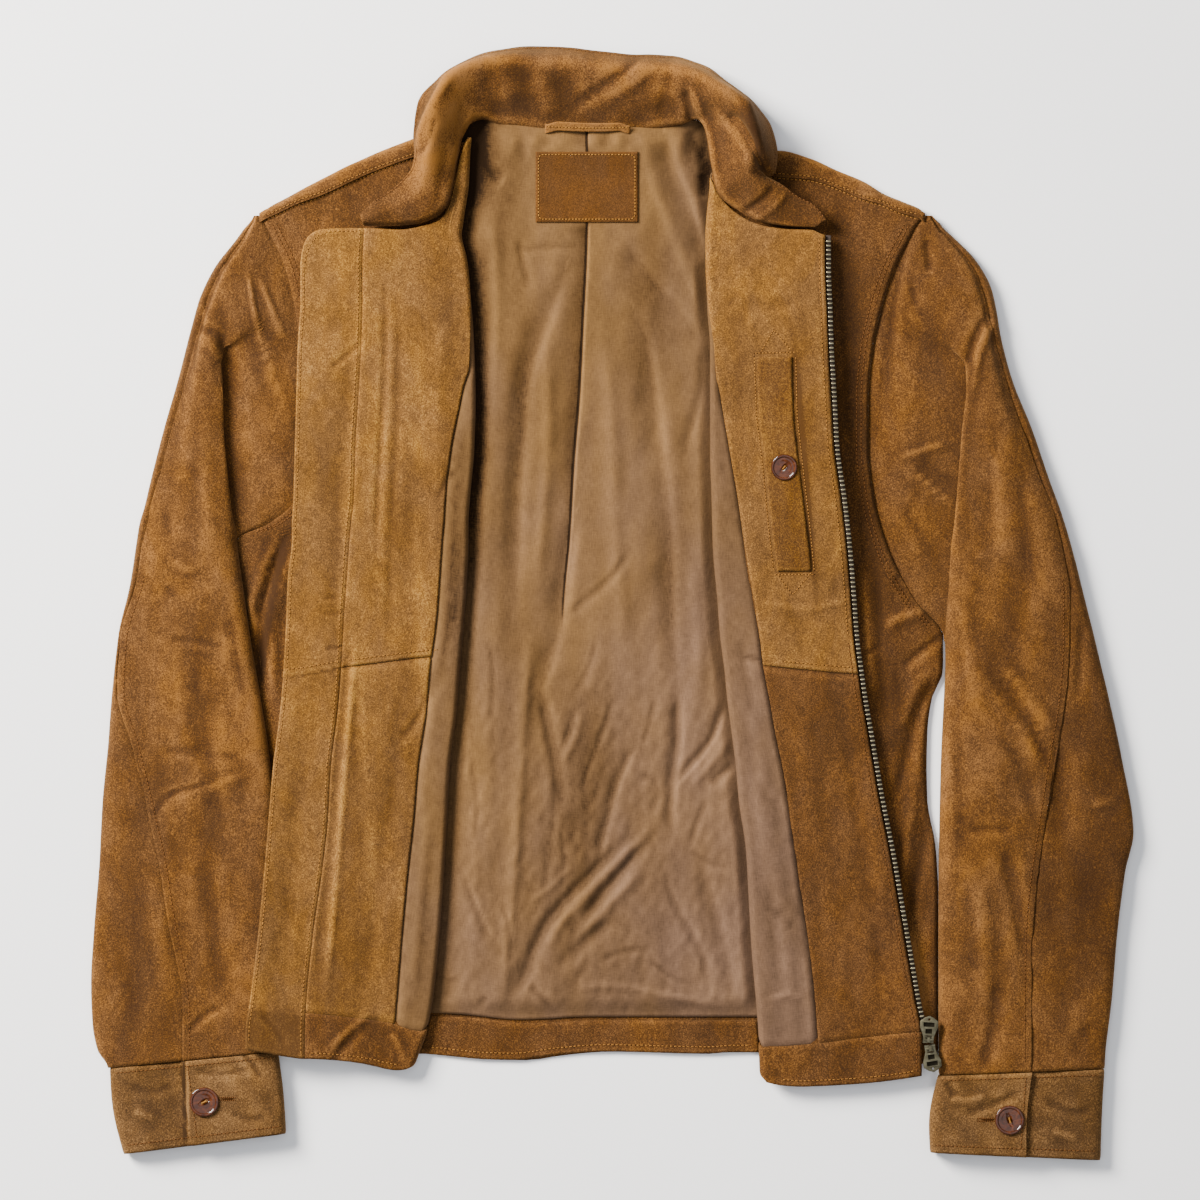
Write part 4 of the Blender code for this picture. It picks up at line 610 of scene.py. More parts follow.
# ---------------- creases and shading of the cloth
# soft ridges (troughs below zero): half width, height, the run's points as x, y, x, y ..., and for some a
# last number, the lean: above zero it widens the flank on the left of a run that goes down
CREASES = {
    "lining": (
        (2.5, -0.9, -26, -70, -30, -89, -39, -107), (2.5, 0.8, -22, -74, -26, -93, -35, -110),
        (2.5, -1, -1, -65, -5, -86, -15, -107, -22, -128), (2.5, -0.9, 30, -65, 27, -81, 21, -95),
        (2.5, -0.9, -36, -156, -32, -177, -35, -198), (2.5, -0.8, -78, -205, -70, -226, -72, -247),
        (2.5, -0.8, -99, -107, -93, -135, -96, -163), (2.5, 0.8, -105, -65, -99, -93, -102, -128),
        (2.5, -0.9, 55, -170, 66, -179, 82, -182), (2.5, -0.8, -8, -247, 7, -240, 27, -239),
        (2.5, -0.9, 27, -247, 42, -260, 58, -264), (2.5, -0.8, -86, -23, -82, -51, -85, -79),
        (2.5, -0.8, -11, -23, -15, -43, -25, -58), (2.5, 0.7, -57, -205, -42, -196, -29, -182),
        (2.5, -0.8, 66, -135, 58, -154, 55, -168),
        (7.5, -3.6, -34, 234, -42, 215, -51, 186, -61, 166, -63, 123, -66, 86, -67, 61, -69, 0, 0.35),
        (6.5, -4.2, 37, 327, 40, 309, 47, 292, 58, 268, 65, 241, 0.4),
        (5.2, 1.3, 23, 316, 34, 281, 49, 244, 66, 202), (9, -2.4, 6, 254, 25, 227, 49, 201, 63, 178, 0.3),
        (7.5, -3.8, 17, 202, 23, 186, 28, 157, 32, 111, 37, 75, 40, 40, 40, -15, 46, -59, 0.4),
        (4.5, -3.2, 46, -59, 47, -96, 40, -129, 41, -160, 0.3),
        (3.9, -1.3, 62, 183, 63, 147, 54, 123, 51, 104, 0.2),
        (7, -3.2, -26, 61, -32, 33, -35, -14, -51, -57, 0.4),
        (4.5, -2.8, -51, -58, -43, -89, -37, -118, -35, -144),
        (5.2, 2.2, -58, -23, -61, -58, -65, -133, -70, -207, -75, -247, -77, -281, 0.2),
        (3.1, -1.3, 12, 38, 0, 19, -19, 4, -30, -5), (3.1, -2.2, 78, -69, 72, -90, 61, -105, 45, -122, 0.3),
        (3.9, 1.5, 84, -90, 70, -109, 55, -124), (3.1, -1.8, 88, -109, 77, -116, 69, -125),
        (3.9, -2.2, 16, -97, 3, -121, -5, -155, -10, -175, 0.3),
        (4.4, -2.6, 23, -165, 9, -182, -4, -198, -21, -221),
        (5.2, -3.3, 13, -162, -10, -183, -30, -203, -49, -226, -60, -256, -70, -275),
        (4.4, 2, 28, -154, 5, -176, -15, -196, -36, -219, -50, -240),
        (3.9, 1.5, 20, -183, -1, -207, -22, -229), (4.7, -2, 1, -219, -19, -233, -39, -253),
        (3.1, -1.5, -58, -264, -48, -275, -35, -290), (2.9, -1.4, -105, -186, -93, -217, -85, -233, 0.3),
        (3.1, -1.6, -86, -272, -95, -280, -104, -291), (4.4, -2.2, -112, -258, -117, -275),
        (3.1, -1.4, 37, -189, 42, -205, 51, -222, 64, -243, 67, -263),
        (3.1, 1.1, -26, -268, -8, -263, 20, -266, 55, -275, 86, -281),
        (3.1, -0.9, 20, -121, 28, -117, 33, -128, 28, -144), (2.6, -1.1, 12, -278, 7, -291),
        (2.9, -0.7, -67, 249, -43, 252, -20, 252), (6, -3.6, -92, 335, -91, 320, -88, 304, -75, 298),
        (5.2, -3.1, 55, 335, 58, 324, 67, 313), (4.5, -2.4, 65, 304, 65, 285),
        (5, 2, -84, 274, -80, 215, -85, 145, -87, 61, -99, -65),
        (5, 1.4, -47, 194, -43, 131, -47, 75, -54, 5), (6, 1.4, -8, 194, 2, 131, 0, 47, 14, -58),
        (2.9, -1.1, -65, 257, -63, 241, -57, 222), (5, -1.6, 62, -184, 77, -226, 83, -275, 0.2),
        (6, 1.6, 55, 33, 61, -23, 58, -79), (3.2, -0.9, -47, -65, -39, -107, -42, -170, -50, -205),
    ),
    "strips": (
        (3, -1, -109, 5, -120, -37, -126, -65), (2.6, -1.1, -112, 96, -121, 75),
        (4, 1, 97, -107, 108, -170, 118, -247, 122, -296), (3, -1, 87, -23, 98, -79),
        (3, -0.9, 105, -191, 115, -226, 111, -275), (3, 0.9, -127, -135, -137, -205, -141, -268),
        (2.2, -0.9, 110, -205, 125, -226), (2.4, -1, 93, -35, 101, -36, 110, -40),
        (2.4, -0.9, 110, -135, 118, -144, 117, -157), (4.5, 0.9, 95, -65, 104, -93, 105, -128),
        (2.6, -1, 132, -191, 128, -219, 134, -247), (2.4, 0.8, 107, -275, 125, -268, 136, -275),
    ),
    "left_front": (
        (2.6, -1.1, -159, 228, -158, 194, -158, 164, -162, 110, -165, 33),
        (3.4, -0.9, -149, 215, -149, 145, -154, 61, -156, -23),
        (7, -0.9, -182, 215, -186, 131, -193, 33, -197, -23), (2.4, -1, -197, 167, -187, 173, -175, 184),
        (1.8, -0.9, -202, 6, -188, 7), (1.8, -0.8, -201, -5, -188, -4), (1.8, -0.9, -200, -29, -187, -28),
        (3.6, -1.5, -183, -23, -189, -65, -194, -135, -200, -205, -207, -268),
        (2.6, 1.1, -178, -23, -183, -79, -189, -149, -194, -219, -200, -275),
        (8, -1, -211, -58, -218, -135, -226, -205, -235, -268),
        (6, -0.9, -145, -51, -154, -135, -165, -219, -176, -275), (3, -1, -127, -58, -134, -79, -148, -93),
        (3, 1, -168, -284, -182, -292, -196, -308), (3.2, -1.3, -176, -296, -189, -308, -196, -320),
        (2.2, -1, -245, -284, -232, -296, -228, -308), (3, 0.8, -154, -296, -148, -308, -145, -319),
        (10, 0.9, -120, 215, -119, 131, -123, 47, -131, -23),
    ),
    "right_front": (
        (9, 0.9, 91, 243, 97, 194, 98, 145), (2.6, -0.9, 143, 253, 145, 215, 154, 131, 161, 61, 168, -23),
        (6, -0.9, 159, -58, 170, -135, 180, -205, 191, -275),
        (7, 0.7, 125, -65, 136, -135, 150, -205, 161, -275), (3, 0.7, 104, 5, 132, -4, 164, 5),
        (5, -0.9, 91, 215, 111, 208, 132, 215), (4, -0.8, 84, 89, 93, 33, 100, -23),
    ),
    "left_side": (
        (1.7, 1.9, -254, 233, -249, 201, -242, 175, -231, 143, -224, 126),
        (2.2, 1.5, -245, 227, -237, 206, -229, 185), (3.5, -1.6, -249, 237, -240, 215, -233, 187),
        (2.6, -1, -259, 93, -249, 96, -238, 100), (2.6, -1, -256, 55, -243, 61, -230, 70),
        (3, -2.8, -224, 54, -236, 38, -238, 21, -247, -3, -246, -30, -243, -58),
        (3.6, 3.2, -219, 43, -228, 28, -232, 12, -238, -9, -238, -37, -236, -65),
        (3.4, 3, -235, 44, -243, 31, -247, 15, -254, -4, -252, -30),
    ),
    "left_sleeve": (
        (1.7, 1.9, -254, 233, -249, 201, -242, 175, -231, 143, -224, 126),
        (2.2, 1.5, -245, 227, -237, 206, -229, 185),
        (6, -2.4, -273, 215, -270, 189, -266, 159, -265, 117, -261, 75, -259, 47),
        (3.2, -2, -268, 175, -271, 187, -278, 192, -287, 194), (3.6, 1.4, -273, 171, -278, 181, -285, 186),
        (2.4, 1.4, -295, 241, -288, 215, -284, 201),
        (2, -1.2, -319, -147, -313, -134, -303, -128, -282, -124),
        (3, 0.9, -282, -128, -273, -123, -263, -119), (4, -0.9, -316, -99, -288, -102, -260, -105),
        (2.4, -1.4, -295, -296, -285, -285, -273, -278), (3, 1, -305, 33, -298, 24, -291, 28),
        (3, -1.2, -310, 14, -303, 7), (2.6, -0.9, -309, -23, -288, -23, -270, -29),
        (4, 1, -278, -65, -271, -107, -266, -163), (4, -1, -295, -37, -288, -65, -284, -107),
        (6, 1.2, -323, -184, -316, -226, -308, -268), (5, -1, -285, -177, -278, -226, -273, -268),
        (3, -1.2, -344, -247, -337, -275, -340, -303), (7, -1, -302, 131, -308, 75, -315, 33),
        (6, 1, -285, 131, -284, 75, -280, 33), (3, -1, -268, -2, -263, -37, -257, -65),
    ),
    "right_side": (
        (6, 1.4, 191, 222, 184, 177, 180, 131, 184, 96, 186, 61), (3, -2.2, 197, 23, 204, 10, 216, 0),
        (4, 1.8, 192, -14, 203, -5, 219, -4), (3, -2.2, 233, -19, 219, -28, 203, -42),
        (3.2, -2.4, 233, -49, 215, -64, 208, -100, 198, -133), (4, 1.8, 223, -43, 210, -58, 201, -86),
        (3, 1.6, 217, -79, 213, -121, 206, -163, 203, -205),
        (4, -2.2, 225, -107, 222, -140, 219, -170, 210, -198, 208, -228),
        (4, -1.8, 182, 33, 187, 5, 188, -37, 191, -86), (3, 1.2, 174, 33, 178, -9, 182, -65),
        (2.2, -1, 187, -26, 178, -33), (3.2, 1.6, 208, -226, 212, -261, 217, -289),
    ),
    "right_sleeve": (
        (5, -2.6, 208, 257, 199, 229, 194, 194, 191, 142, 0.3), (3.4, -2.2, 220, 258, 222, 233),
        (3, -1.4, 210, 224, 213, 210), (3.2, -2.2, 261, 202, 252, 183, 248, 168, 0.2),
        (2.6, 1.4, 270, 202, 259, 188, 255, 171, 252, 147), (2.6, 1.4, 202, 104, 216, 109, 230, 114),
        (7, -2.6, 215, 101, 227, 89, 238, 79), (1.8, 1.6, 210, 96, 223, 83, 236, 72),
        (2.6, -1.4, 203, 75, 212, 54, 224, 33), (2.4, -2.6, 264, -44, 280, -64, 298, -90, 305, -113, 0.3),
        (3, 1.4, 271, -40, 289, -61, 306, -86), (3, -1.4, 275, -92, 287, -115, 294, -152),
        (4, -2, 273, -168, 281, -198, 285, -228, 289, -251), (4, -1.8, 269, -261, 268, -293, 258, -322),
        (5, 1.2, 254, -191, 261, -233, 259, -275), (3, -0.9, 248, -156, 265, -154, 280, -156),
        (6, -1.8, 314, -93, 314, -128, 311, -163), (3, 1, 332, -135, 342, -140, 350, -133),
        (3, -1.4, 334, -291, 325, -303, 320, -315), (3, 1.2, 328, -275, 321, -296),
        (5, 1, 271, 110, 271, 75, 273, 33), (4, -0.9, 285, 96, 287, 54, 293, 12),
        (5, -1, 237, -65, 243, -121, 244, -177), (3, -1.2, 329, -9, 327, -37, 325, -65),
        (4, 0.9, 244, 5, 250, -37, 255, -79),
    ),
    "collar": (
        (2, 2, -111, 369, -119, 360, -128, 342, -133, 327, -134, 314),
        (3.2, -1.6, -117, 371, -127, 356, -133, 342, -138, 327),
        (2.2, -1.6, -132, 314, -127, 323, -123, 341), (5, -1, -103, 356, -106, 334, -105, 315, -107, 294),
        (2.6, 1.4, -99, 346, -102, 327, -101, 299, -104, 280), (3, -0.8, -116, 320, -119, 299, -123, 280),
        (6, -0.7, -88, 374, -85, 357, -78, 342), (5, 0.6, -76, 376, -74, 360, -70, 346),
        (7, 0.8, -49, 371, -47, 356, -44, 343), (6, -0.7, -60, 376, -58, 357, -56, 342),
        (6, -0.6, -35, 369, -33, 352), (6, 0.6, -22, 374, -19, 360),
        (3.2, -2, 20, 381, 7, 371, -8, 362, -26, 350, 0.2), (2.6, 1.3, 27, 374, 12, 363, -4, 355),
        (4, -1.2, 40, 373, 38, 357, 34, 341), (2.4, 1.8, 55, 360, 60, 350, 66, 338, 71, 318, 73, 299),
        (3.2, -2.8, 51, 360, 54, 349, 55, 339), (4, -7, 79, 342, 89, 335, 97, 322, 103, 310, 105, 301),
        (3, 2, 70, 348, 84, 336, 91, 325, 98, 310, 107, 296),
        (2.6, 2.4, 91, 354, 97, 336, 101, 321, 107, 307), (3, -2, 112, 292, 104, 282, 90, 275),
        (3, 1.4, 121, 289, 111, 276, 97, 268),
    ),
    "cuff": (
        (2.6, -0.8, -291, -323, -274, -327, -252, -322), (2.4, -1.4, -259, -310, -252, -317, -245, -329),
        (3, -1, -266, -352, -253, -359, -242, -355), (3, -1.2, 245, -354, 265, -348, 285, -338),
        (2.6, 1, 236, -343, 248, -345, 261, -341), (3, -1.2, 233, -331, 240, -343),
        (3, -1, 303, -345, 321, -354, 335, -351), (3, 1, 307, -366, 325, -371),
        (3, -0.9, -337, -334, -323, -340, -305, -334), (3, 0.8, -334, -352, -319, -357),
    ),
}
# the right front's lower facing is cut from a darker hide
LOWER_KIND = {"left": "facing", "right": "facing_deep"}
# shade of the nap, with painted shade and painted light where folds, slits and hollows fall into shadow or
# catch the light: x, y, half width, half length, lean in degrees, amount (dark below zero)
TONES_AND_PAINTED_LIGHT = {
    # painted shadow and painted highlight along the step of each cuff's overlap, and the nap's shades
    "cuff": (
        (-297.9, -345, 0.9, 33, 1, -2.6), (-295.6, -345, 1.3, 33, 1, 1.2), (-262, -330, 26, 12, 8, 0.5),
        (-290, -350, 60, 60, 0, 0.02), (-315, -335, 14, 24, 0, -0.3), (280, -345, 10, 30, 0, 0.3),
        (285, -355, 70, 60, 0, 0.03), (318, -350, 18, 26, 0, -0.2),
    ),
    "left_sleeve": (
        (-330, -180, 16, 90, 0, -0.3), (-290, 60, 12, 60, 0, 0.2),
    ),
    "right_sleeve": (
        (345, -140, 18, 120, -6, -0.55), (300, -180, 16, 110, 0, -0.25), (262, 120, 14, 90, 0, 0.1),
    ),
    # painted shade in the hollows at the neck's corners, under the collar and along the folds, and the nap's
    # shades
    "lining": (
        (-94, 316, 24, 34, 8, -0.8), (-78, 262, 9, 34, -10, -0.4), (66, 314, 15, 26, 14, -0.9),
        (66, 280, 9, 40, 8, -0.5), (10, 343, 40, 8, 0, -0.7), (-10, -230, 80, 60, 0, -0.35),
        (40, 210, 40, 60, 0, -0.2), (-78, 190, 9, 70, -3, 0.45), (-58, 160, 10, 48, -4, -0.25),
        (45, 30, 10, 80, 0, -0.6), (28, 40, 7, 80, 0, 0.25), (24, 200, 16, 60, -6, -0.4),
        (-20, -120, 34, 70, 0, -0.6), (-72, 120, 18, 190, 0, -0.5),
    ),
    # painted shadow beside the zip's edge and between the pulls and the sleeve, and lighter patches of the
    # nap
    "right_side": (
        (172, 144, 8, 135, 4.4, -0.65), (196, -50, 6, 110, 6, -0.55), (216, -270, 8, 50, 6, 1.3),
        (228, -270, 3, 50, 0, -1.2), (214, 190, 8, 60, 4, 0.5),
    ),
    # painted shadow in the slit under the arm
    "left_side": (
        (-236, 4, 3.2, 52, -11, -2.4), (-246, 20, 3, 30, -12, -0.8), (-243, 95, 6, 60, 0, -0.5),
    ),
    "left_front": (
        (-195, 40, 9, 120, 2, -0.55), (-150, 90, 10, 150, 2, -0.35), (-112, 90, 9, 160, 2, -0.65),
        (-170, -140, 5, 130, 4, 0.5), (-128, -120, 5, 140, 3, 0.35), (-160, 170, 10, 90, 0, 0.35),
        (-180, -170, 70, 118, 3, -0.3),
    ),
    # painted shade in the inner valley on the right, painted light on the left wing that turns away from the
    # lamp, and the nap's shades
    "collar": (
        (99, 328, 6, 26, 14, -1.8), (-104, 344, 12, 44, 8, 0.6), (-119, 326, 11, 44, -18, 1.1),
        (-86, 374, 14, 16, 0, 0.25), (-48, 377, 9, 16, 0, 0.3), (-29, 372, 7, 12, 0, 0.15),
        (-70, 372, 12, 22, 0, -0.05), (30, 365, 16, 12, 0, 0.3), (-20, 395, 90, 8, 0, -0.4),
    ),
    # painted shadow in the slit beside the pocket welt, and the nap's shades
    "right_front": (
        (134.5, 99, 2.0, 80, 5, -2.2), (120, 100, 45, 150, 0, -0.2), (148, 60, 9, 130, 5, -0.3),
        (90, 190, 14, 90, 0, -0.25), (145, 110, 9, 110, -3, 0.3), (140, -130, 16, 90, -5, -0.35),
    ),
}


def creases(zone, x, y):
    """Height of a zone's folds: bell-shaped across their runs, fading at both ends."""
    z = np.zeros(np.shape(x))
    for width, height, *path in CREASES[zone]:
        lean = path.pop() if len(path) % 2 else 0
        run = spline(list(zip(path[::2], path[1::2])), np.linspace(0, 1, 3 * len(path)))
        step = np.diff(run, axis=0)
        length = np.linalg.norm(step, axis=1)
        begin = np.concatenate([[0], np.cumsum(length)])
        reach = width * 4
        low, high = run.min(axis=0) - reach, run.max(axis=0) + reach
        near = (x > low[0]) & (x < high[0]) & (y > low[1]) & (y < high[1])
        px, py = x[near], y[near]
        best = np.full(px.shape, 1e9)
        along = np.zeros(px.shape)
        side = np.zeros(px.shape)
        for k, (dx, dy) in enumerate(step):
            ax, ay = px - run[k, 0], py - run[k, 1]
            t = np.clip((ax * dx + ay * dy) / length[k] ** 2, 0, 1)
            gap = np.hypot(ax - t * dx, ay - t * dy)
            closer = gap < best
            best = np.where(closer, gap, best)
            along = np.where(closer, (begin[k] + t * length[k]) / begin[-1], along)
            side = np.where(closer, np.sign(ax * dy - ay * dx), side)
        bell = np.exp(-(best / (width * (1 + lean * side))) ** 2)
        z[near] += height * bell * ease(along * 4 + 0.25) * ease((1 - along) * 4 + 0.25)
    return z


def tones_and_painted_light(zone, x, y):
    """Darker and lighter patches: the nap's own shades, with painted shade and painted light where shadows
    fall or the light catches.
    """
    shade = np.zeros(np.shape(x))
    for cx, cy, half_w, half_l, lean, amount in TONES_AND_PAINTED_LIGHT.get(zone, ()):
        turn = math.radians(lean)
        u = (x - cx) * math.cos(turn) + (y - cy) * math.sin(turn)
        v = (y - cy) * math.cos(turn) - (x - cx) * math.sin(turn)
        shade = shade + amount * np.exp(-(u / half_w) ** 2 - (v / half_l) ** 4)
    return shade


# fine waves: height, size, seed of the draws, stretch lengthways
RIPPLES = 14
WAVES = {
    "left_front": ((0.35, 34, 3, 1.6), (0.12, 11, 5, 1)),
    "right_front": ((0.35, 34, 4, 1.6), (0.12, 11, 5, 1)),
    "side": ((0.5, 30, 6, 1),),
    "lining": ((0.9, 46, 11, 2.2), (0.35, 19, 12, 1.5)),
    "lining_foot": ((0.22, 10, 13, 1.3),),
    "back_hem": ((0.3, 24, 14, 1),),
    "yoke": ((0.3, 22, 21, 1),),
    "left_upper": ((0.6, 38, 32, 1.5), (0.15, 12, 33, 1)),
    "right_upper": ((0.6, 38, 31, 1.5), (0.15, 12, 33, 1)),
    "left_under": ((0.5, 32, 35, 1.5),),
    "right_under": ((0.5, 32, 34, 1.5),),
    "cuff": ((0.35, 20, 41, 1),),
    "collar": ((0.5, 26, 51, 1),),
}


def ripple(x, y, size, seed, stretch=1.0):
    """Gentle waves of about one size in all directions, from -1 to 1, the same on every run."""
    draw = np.random.RandomState(seed)
    total = np.zeros(np.shape(x))
    for _ in range(RIPPLES):
        turn = draw.uniform(0, math.pi)
        step = 2 * math.pi / (size * draw.uniform(0.7, 1.6))
        phase = draw.uniform(0, 2 * math.pi)
        total += np.sin(step * (x * math.cos(turn) + y / stretch * math.sin(turn)) + phase)
    return total / math.sqrt(RIPPLES) / 1.6


def waves(zone, x, y):
    """Height of a zone's fine waves."""
    return sum(height * ripple(x, y, size, seed, stretch) for height, size, seed, stretch in WAVES[zone])


# ---------------- making a wall of cloth
# rubbed edges with painted fold light, lighter on ridges and darker in troughs: reach of the fine and the
# wide bends that it shows, width of the rubbed rim, share of it underneath
FINE_BEND = 2.4
WIDE_BEND = 6.0
EDGE_WEAR = 1.6
UNDER_SHARE = 0.3


def arc_lengths(grid, axis):
    """Distance of every point from the grid's first row (axis 0) or column (axis 1)."""
    step = np.linalg.norm(np.diff(grid, axis=axis), axis=2)
    start = np.zeros_like(np.take(step, [0], axis=axis))
    return np.concatenate([start, np.cumsum(step, axis=axis)], axis=axis)


def bend(grid, n, reach):
    """Curvature of a grid in 1/mm over a reach in millimetres, above zero on ridges."""
    total = np.zeros(grid.shape[:2])
    for axis in (0, 1):
        size = grid.shape[axis]
        step = np.linalg.norm(np.diff(grid, axis=axis), axis=2).mean()
        k = int(np.clip(round(reach / max(step, 0.1)), 1, max(1, (size - 1) // 2)))
        i = np.arange(size)
        before = np.take(grid, np.maximum(i - k, 0), axis=axis)
        after = np.take(grid, np.minimum(i + k, size - 1), axis=axis)
        second = before + after - 2 * grid
        keep = ((i >= k) & (i < size - k)).astype(float)
        keep = keep[:, None] if axis == 0 else keep[None, :]
        total -= (second * n).sum(axis=2) / (k * step) ** 2 * keep
    return total


def new_piece(name, verts, faces, kind):
    """A smooth-shaded piece from points in millimetres, in the material of its kind."""
    mesh = bpy.data.meshes.new(name)
    mesh.from_pydata((verts * MM).tolist(), [], faces)
    mesh.shade_smooth()
    mesh.materials.append(finish(kind))
    item = bpy.data.objects.new(name, mesh)
    bpy.context.scene.collection.objects.link(item)
    return item


def shell(name, middle, thick, kind, face=1, tone_and_painted_light=0.0, border=0.4):
    """Closed wall of cloth round a grid of middle points, with soft borders.

    It carries a UV map in millimetres, and two attributes for its material: rubbing with painted highlight on
    fold ridges and painted shade in fold troughs (above zero on ridges), and the nap's shades with painted
    shade and painted light.
    """
    tone_and_painted_light = np.broadcast_to(np.asarray(tone_and_painted_light, float), middle.shape[:2])
    if face < 0:
        middle = middle[:, ::-1]
        tone_and_painted_light = tone_and_painted_light[:, ::-1]
    rows, cols = middle.shape[:2]
    n = normals(middle)
    half = np.full((rows, cols), thick / 2 * (1 - border))
    half[1:-1, 1:-1] = thick / 2
    top = middle + n * half[..., None]
    low = middle - n * half[..., None]
    index = np.arange(rows * cols).reshape(rows, cols)
    corners = (index[:-1, :-1], index[:-1, 1:], index[1:, 1:], index[1:, :-1])
    up = np.stack([corner.ravel() for corner in corners], axis=1)
    down = up[:, ::-1] + rows * cols
    ring = np.concatenate([index[0, :], index[1:, -1], index[-1, -2::-1], index[-2:0:-1, 0]])
    edge = 2 * rows * cols + np.arange(len(ring))
    after = np.roll(np.arange(len(ring)), -1)
    side_up = np.stack([edge, edge[after], ring[after], ring], axis=1)
    side_low = np.stack([ring + rows * cols, ring[after] + rows * cols, edge[after], edge], axis=1)
    verts = np.concatenate([top.reshape(-1, 3), low.reshape(-1, 3), middle.reshape(-1, 3)[ring]])
    faces = np.concatenate([up, down, side_up, side_low])
    item = new_piece(name, verts, faces.tolist(), kind)
    u = arc_lengths(middle, 1)
    v = arc_lengths(middle, 0)
    u = u + (u[:, -1].max() - u[:, -1:]) / 2
    uv = np.stack([u.ravel(), v.ravel()], axis=1)
    uv = np.concatenate([uv, uv, uv[ring]]) * MM
    layer = item.data.uv_layers.new(name="cloth")
    layer.data.foreach_set("uv", uv[faces.ravel()].astype(np.float32).ravel())
    # painted highlight on fold ridges and painted shade in fold troughs, from the curvature, and a lighter
    # rubbed rim along the borders
    rubbing_and_fold_light = np.clip(bend(top, n, FINE_BEND) * 2.6 + bend(top, n, WIDE_BEND) * 2.4, -0.4, 1)
    near = np.minimum(np.minimum(u, u.max() - u), np.minimum(v, v.max() - v))
    rubbing_and_fold_light = np.clip(rubbing_and_fold_light + 0.35 * np.exp(-(near / EDGE_WEAR) ** 2), -1, 1)
    for label, values in (("wear_and_painted_fold_light", rubbing_and_fold_light.ravel()), ("tone_and_painted_light", tone_and_painted_light.ravel())):
        field = item.data.attributes.new(label, "FLOAT", "POINT")
        values = np.concatenate([values, values * UNDER_SHARE, values[ring]])
        field.data.foreach_set("value", values.astype(np.float32))
    width, length = u.max() - u.min(), v.max() - v.min()
    corner = middle[:-1, :-1]
    cell = np.linalg.norm(np.cross(middle[:-1, 1:] - corner, middle[1:, :-1] - corner), axis=2)
    item["cut_mm"] = [float(width), float(length), float(cell.sum())]
    return item


def lay(item, node):
    """Tie a cloth piece to the jacket and hide the solid that it stands for."""
    width, length, area = item["cut_mm"]
    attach(item, "jacket")
    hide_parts(node)
    if min(width, length) < NARROW:
        return item
    return item


# ---------------- front panels
def strip_grid(side, low, high, ends, places, offset, step, inset=(-GAP / 2, GAP / 2)):
    """Fine grid on a front between two places round it, moved out from the panel's middle by offset.

    Returns its points and their places round the front.
    """
    def place(part, y):
        a = low(y) if callable(low) else low
        b = high(y) if callable(high) else high
        return a + (b - a) * part + 0 * y

    def meet(table, part, shift):
        """Y at which one line of the grid meets an end: four rounds settle it."""
        y = np.float64(table[0][1])
        for _ in range(4):
            y = smooth(table, place(part, y)) + shift
        return float(y)

    tops, bottoms = ([meet(table, part, shift) for part in places] for table, shift in zip(ends, inset))
    rows = int(max(np.array(tops) - np.array(bottoms)) / step) + 2
    points, spots = [], []
    for part, top, bottom in zip(places, tops, bottoms):
        y = bottom + (top - bottom) * np.linspace(0, 1, rows)
        q = place(part, y)
        points.append(front_point(side, q, y) + offset * front_normal(side, q, y))
        spots.append(q)
    return np.stack(points, axis=1), np.stack(spots, axis=1)


def front_relief(side, grid, q):
    """Folds of the turned part, fading round the fold."""
    x, y = grid[..., 0], grid[..., 1]
    zone = f"{side}_front"
    return (creases(zone, x, y) + creases("strips", x, y) + waves(zone, x, y)) * ease((q - 1.6) / 0.5)


def lift(grid, height, sign):
    """Move a grid out along its normals."""
    return grid + normals(grid) * (sign * height)[..., None]


def tuck(grid, edge, sign, depth=1.2, reach=3.0):
    """Sink one border of a grid below its neighbour: edge is top, bottom, low or high."""
    axis = 0 if edge in ("top", "bottom") else 1
    run = arc_lengths(grid, axis)
    if edge in ("top", "high"):
        run = np.take(run, [-1], axis=axis) - run
    return lift(grid, -depth * ease(1 - run / reach), sign)


def build_fronts(settings):
    """Outer suede: the side part that lies face up, the fold and the part turned back."""
    places = np.concatenate([np.linspace(SIDE_Q, 0.62, 26), np.linspace(0.7, 1, 5)[:-1],
                             np.linspace(1, 2, 10), np.linspace(2, EDGE_Q, 8)[1:]])
    for side in SIDES:
        grid, q = strip_grid(side, 0, 1, ends_of(ENDS[side]), places, 0, settings.grid_step)
        x, y = grid[..., 0], grid[..., 1]
        body = creases(f"{side}_side", x, y) + waves("side", x, y) * ease(q / 0.1)
        body = body * ease((1 - q) * 3) * ease(q / 0.03)
        # under the fold the outer face is shown, beyond it the inner one
        grid = lift(grid, -body + front_relief(side, grid, q), OUT[side])
        # painted shadow beside the zip's edge and in the slit under the arm, with the nap's shades, on the
        # part that lies face up
        shade = tones_and_painted_light(f"{side}_side", x, y) * (q < 1)
        item = shell(f"front_{side}_suede", grid, SUEDE, "suede", -OUT[side], tone_and_painted_light=shade)
        lay(item, f"front_{side}")


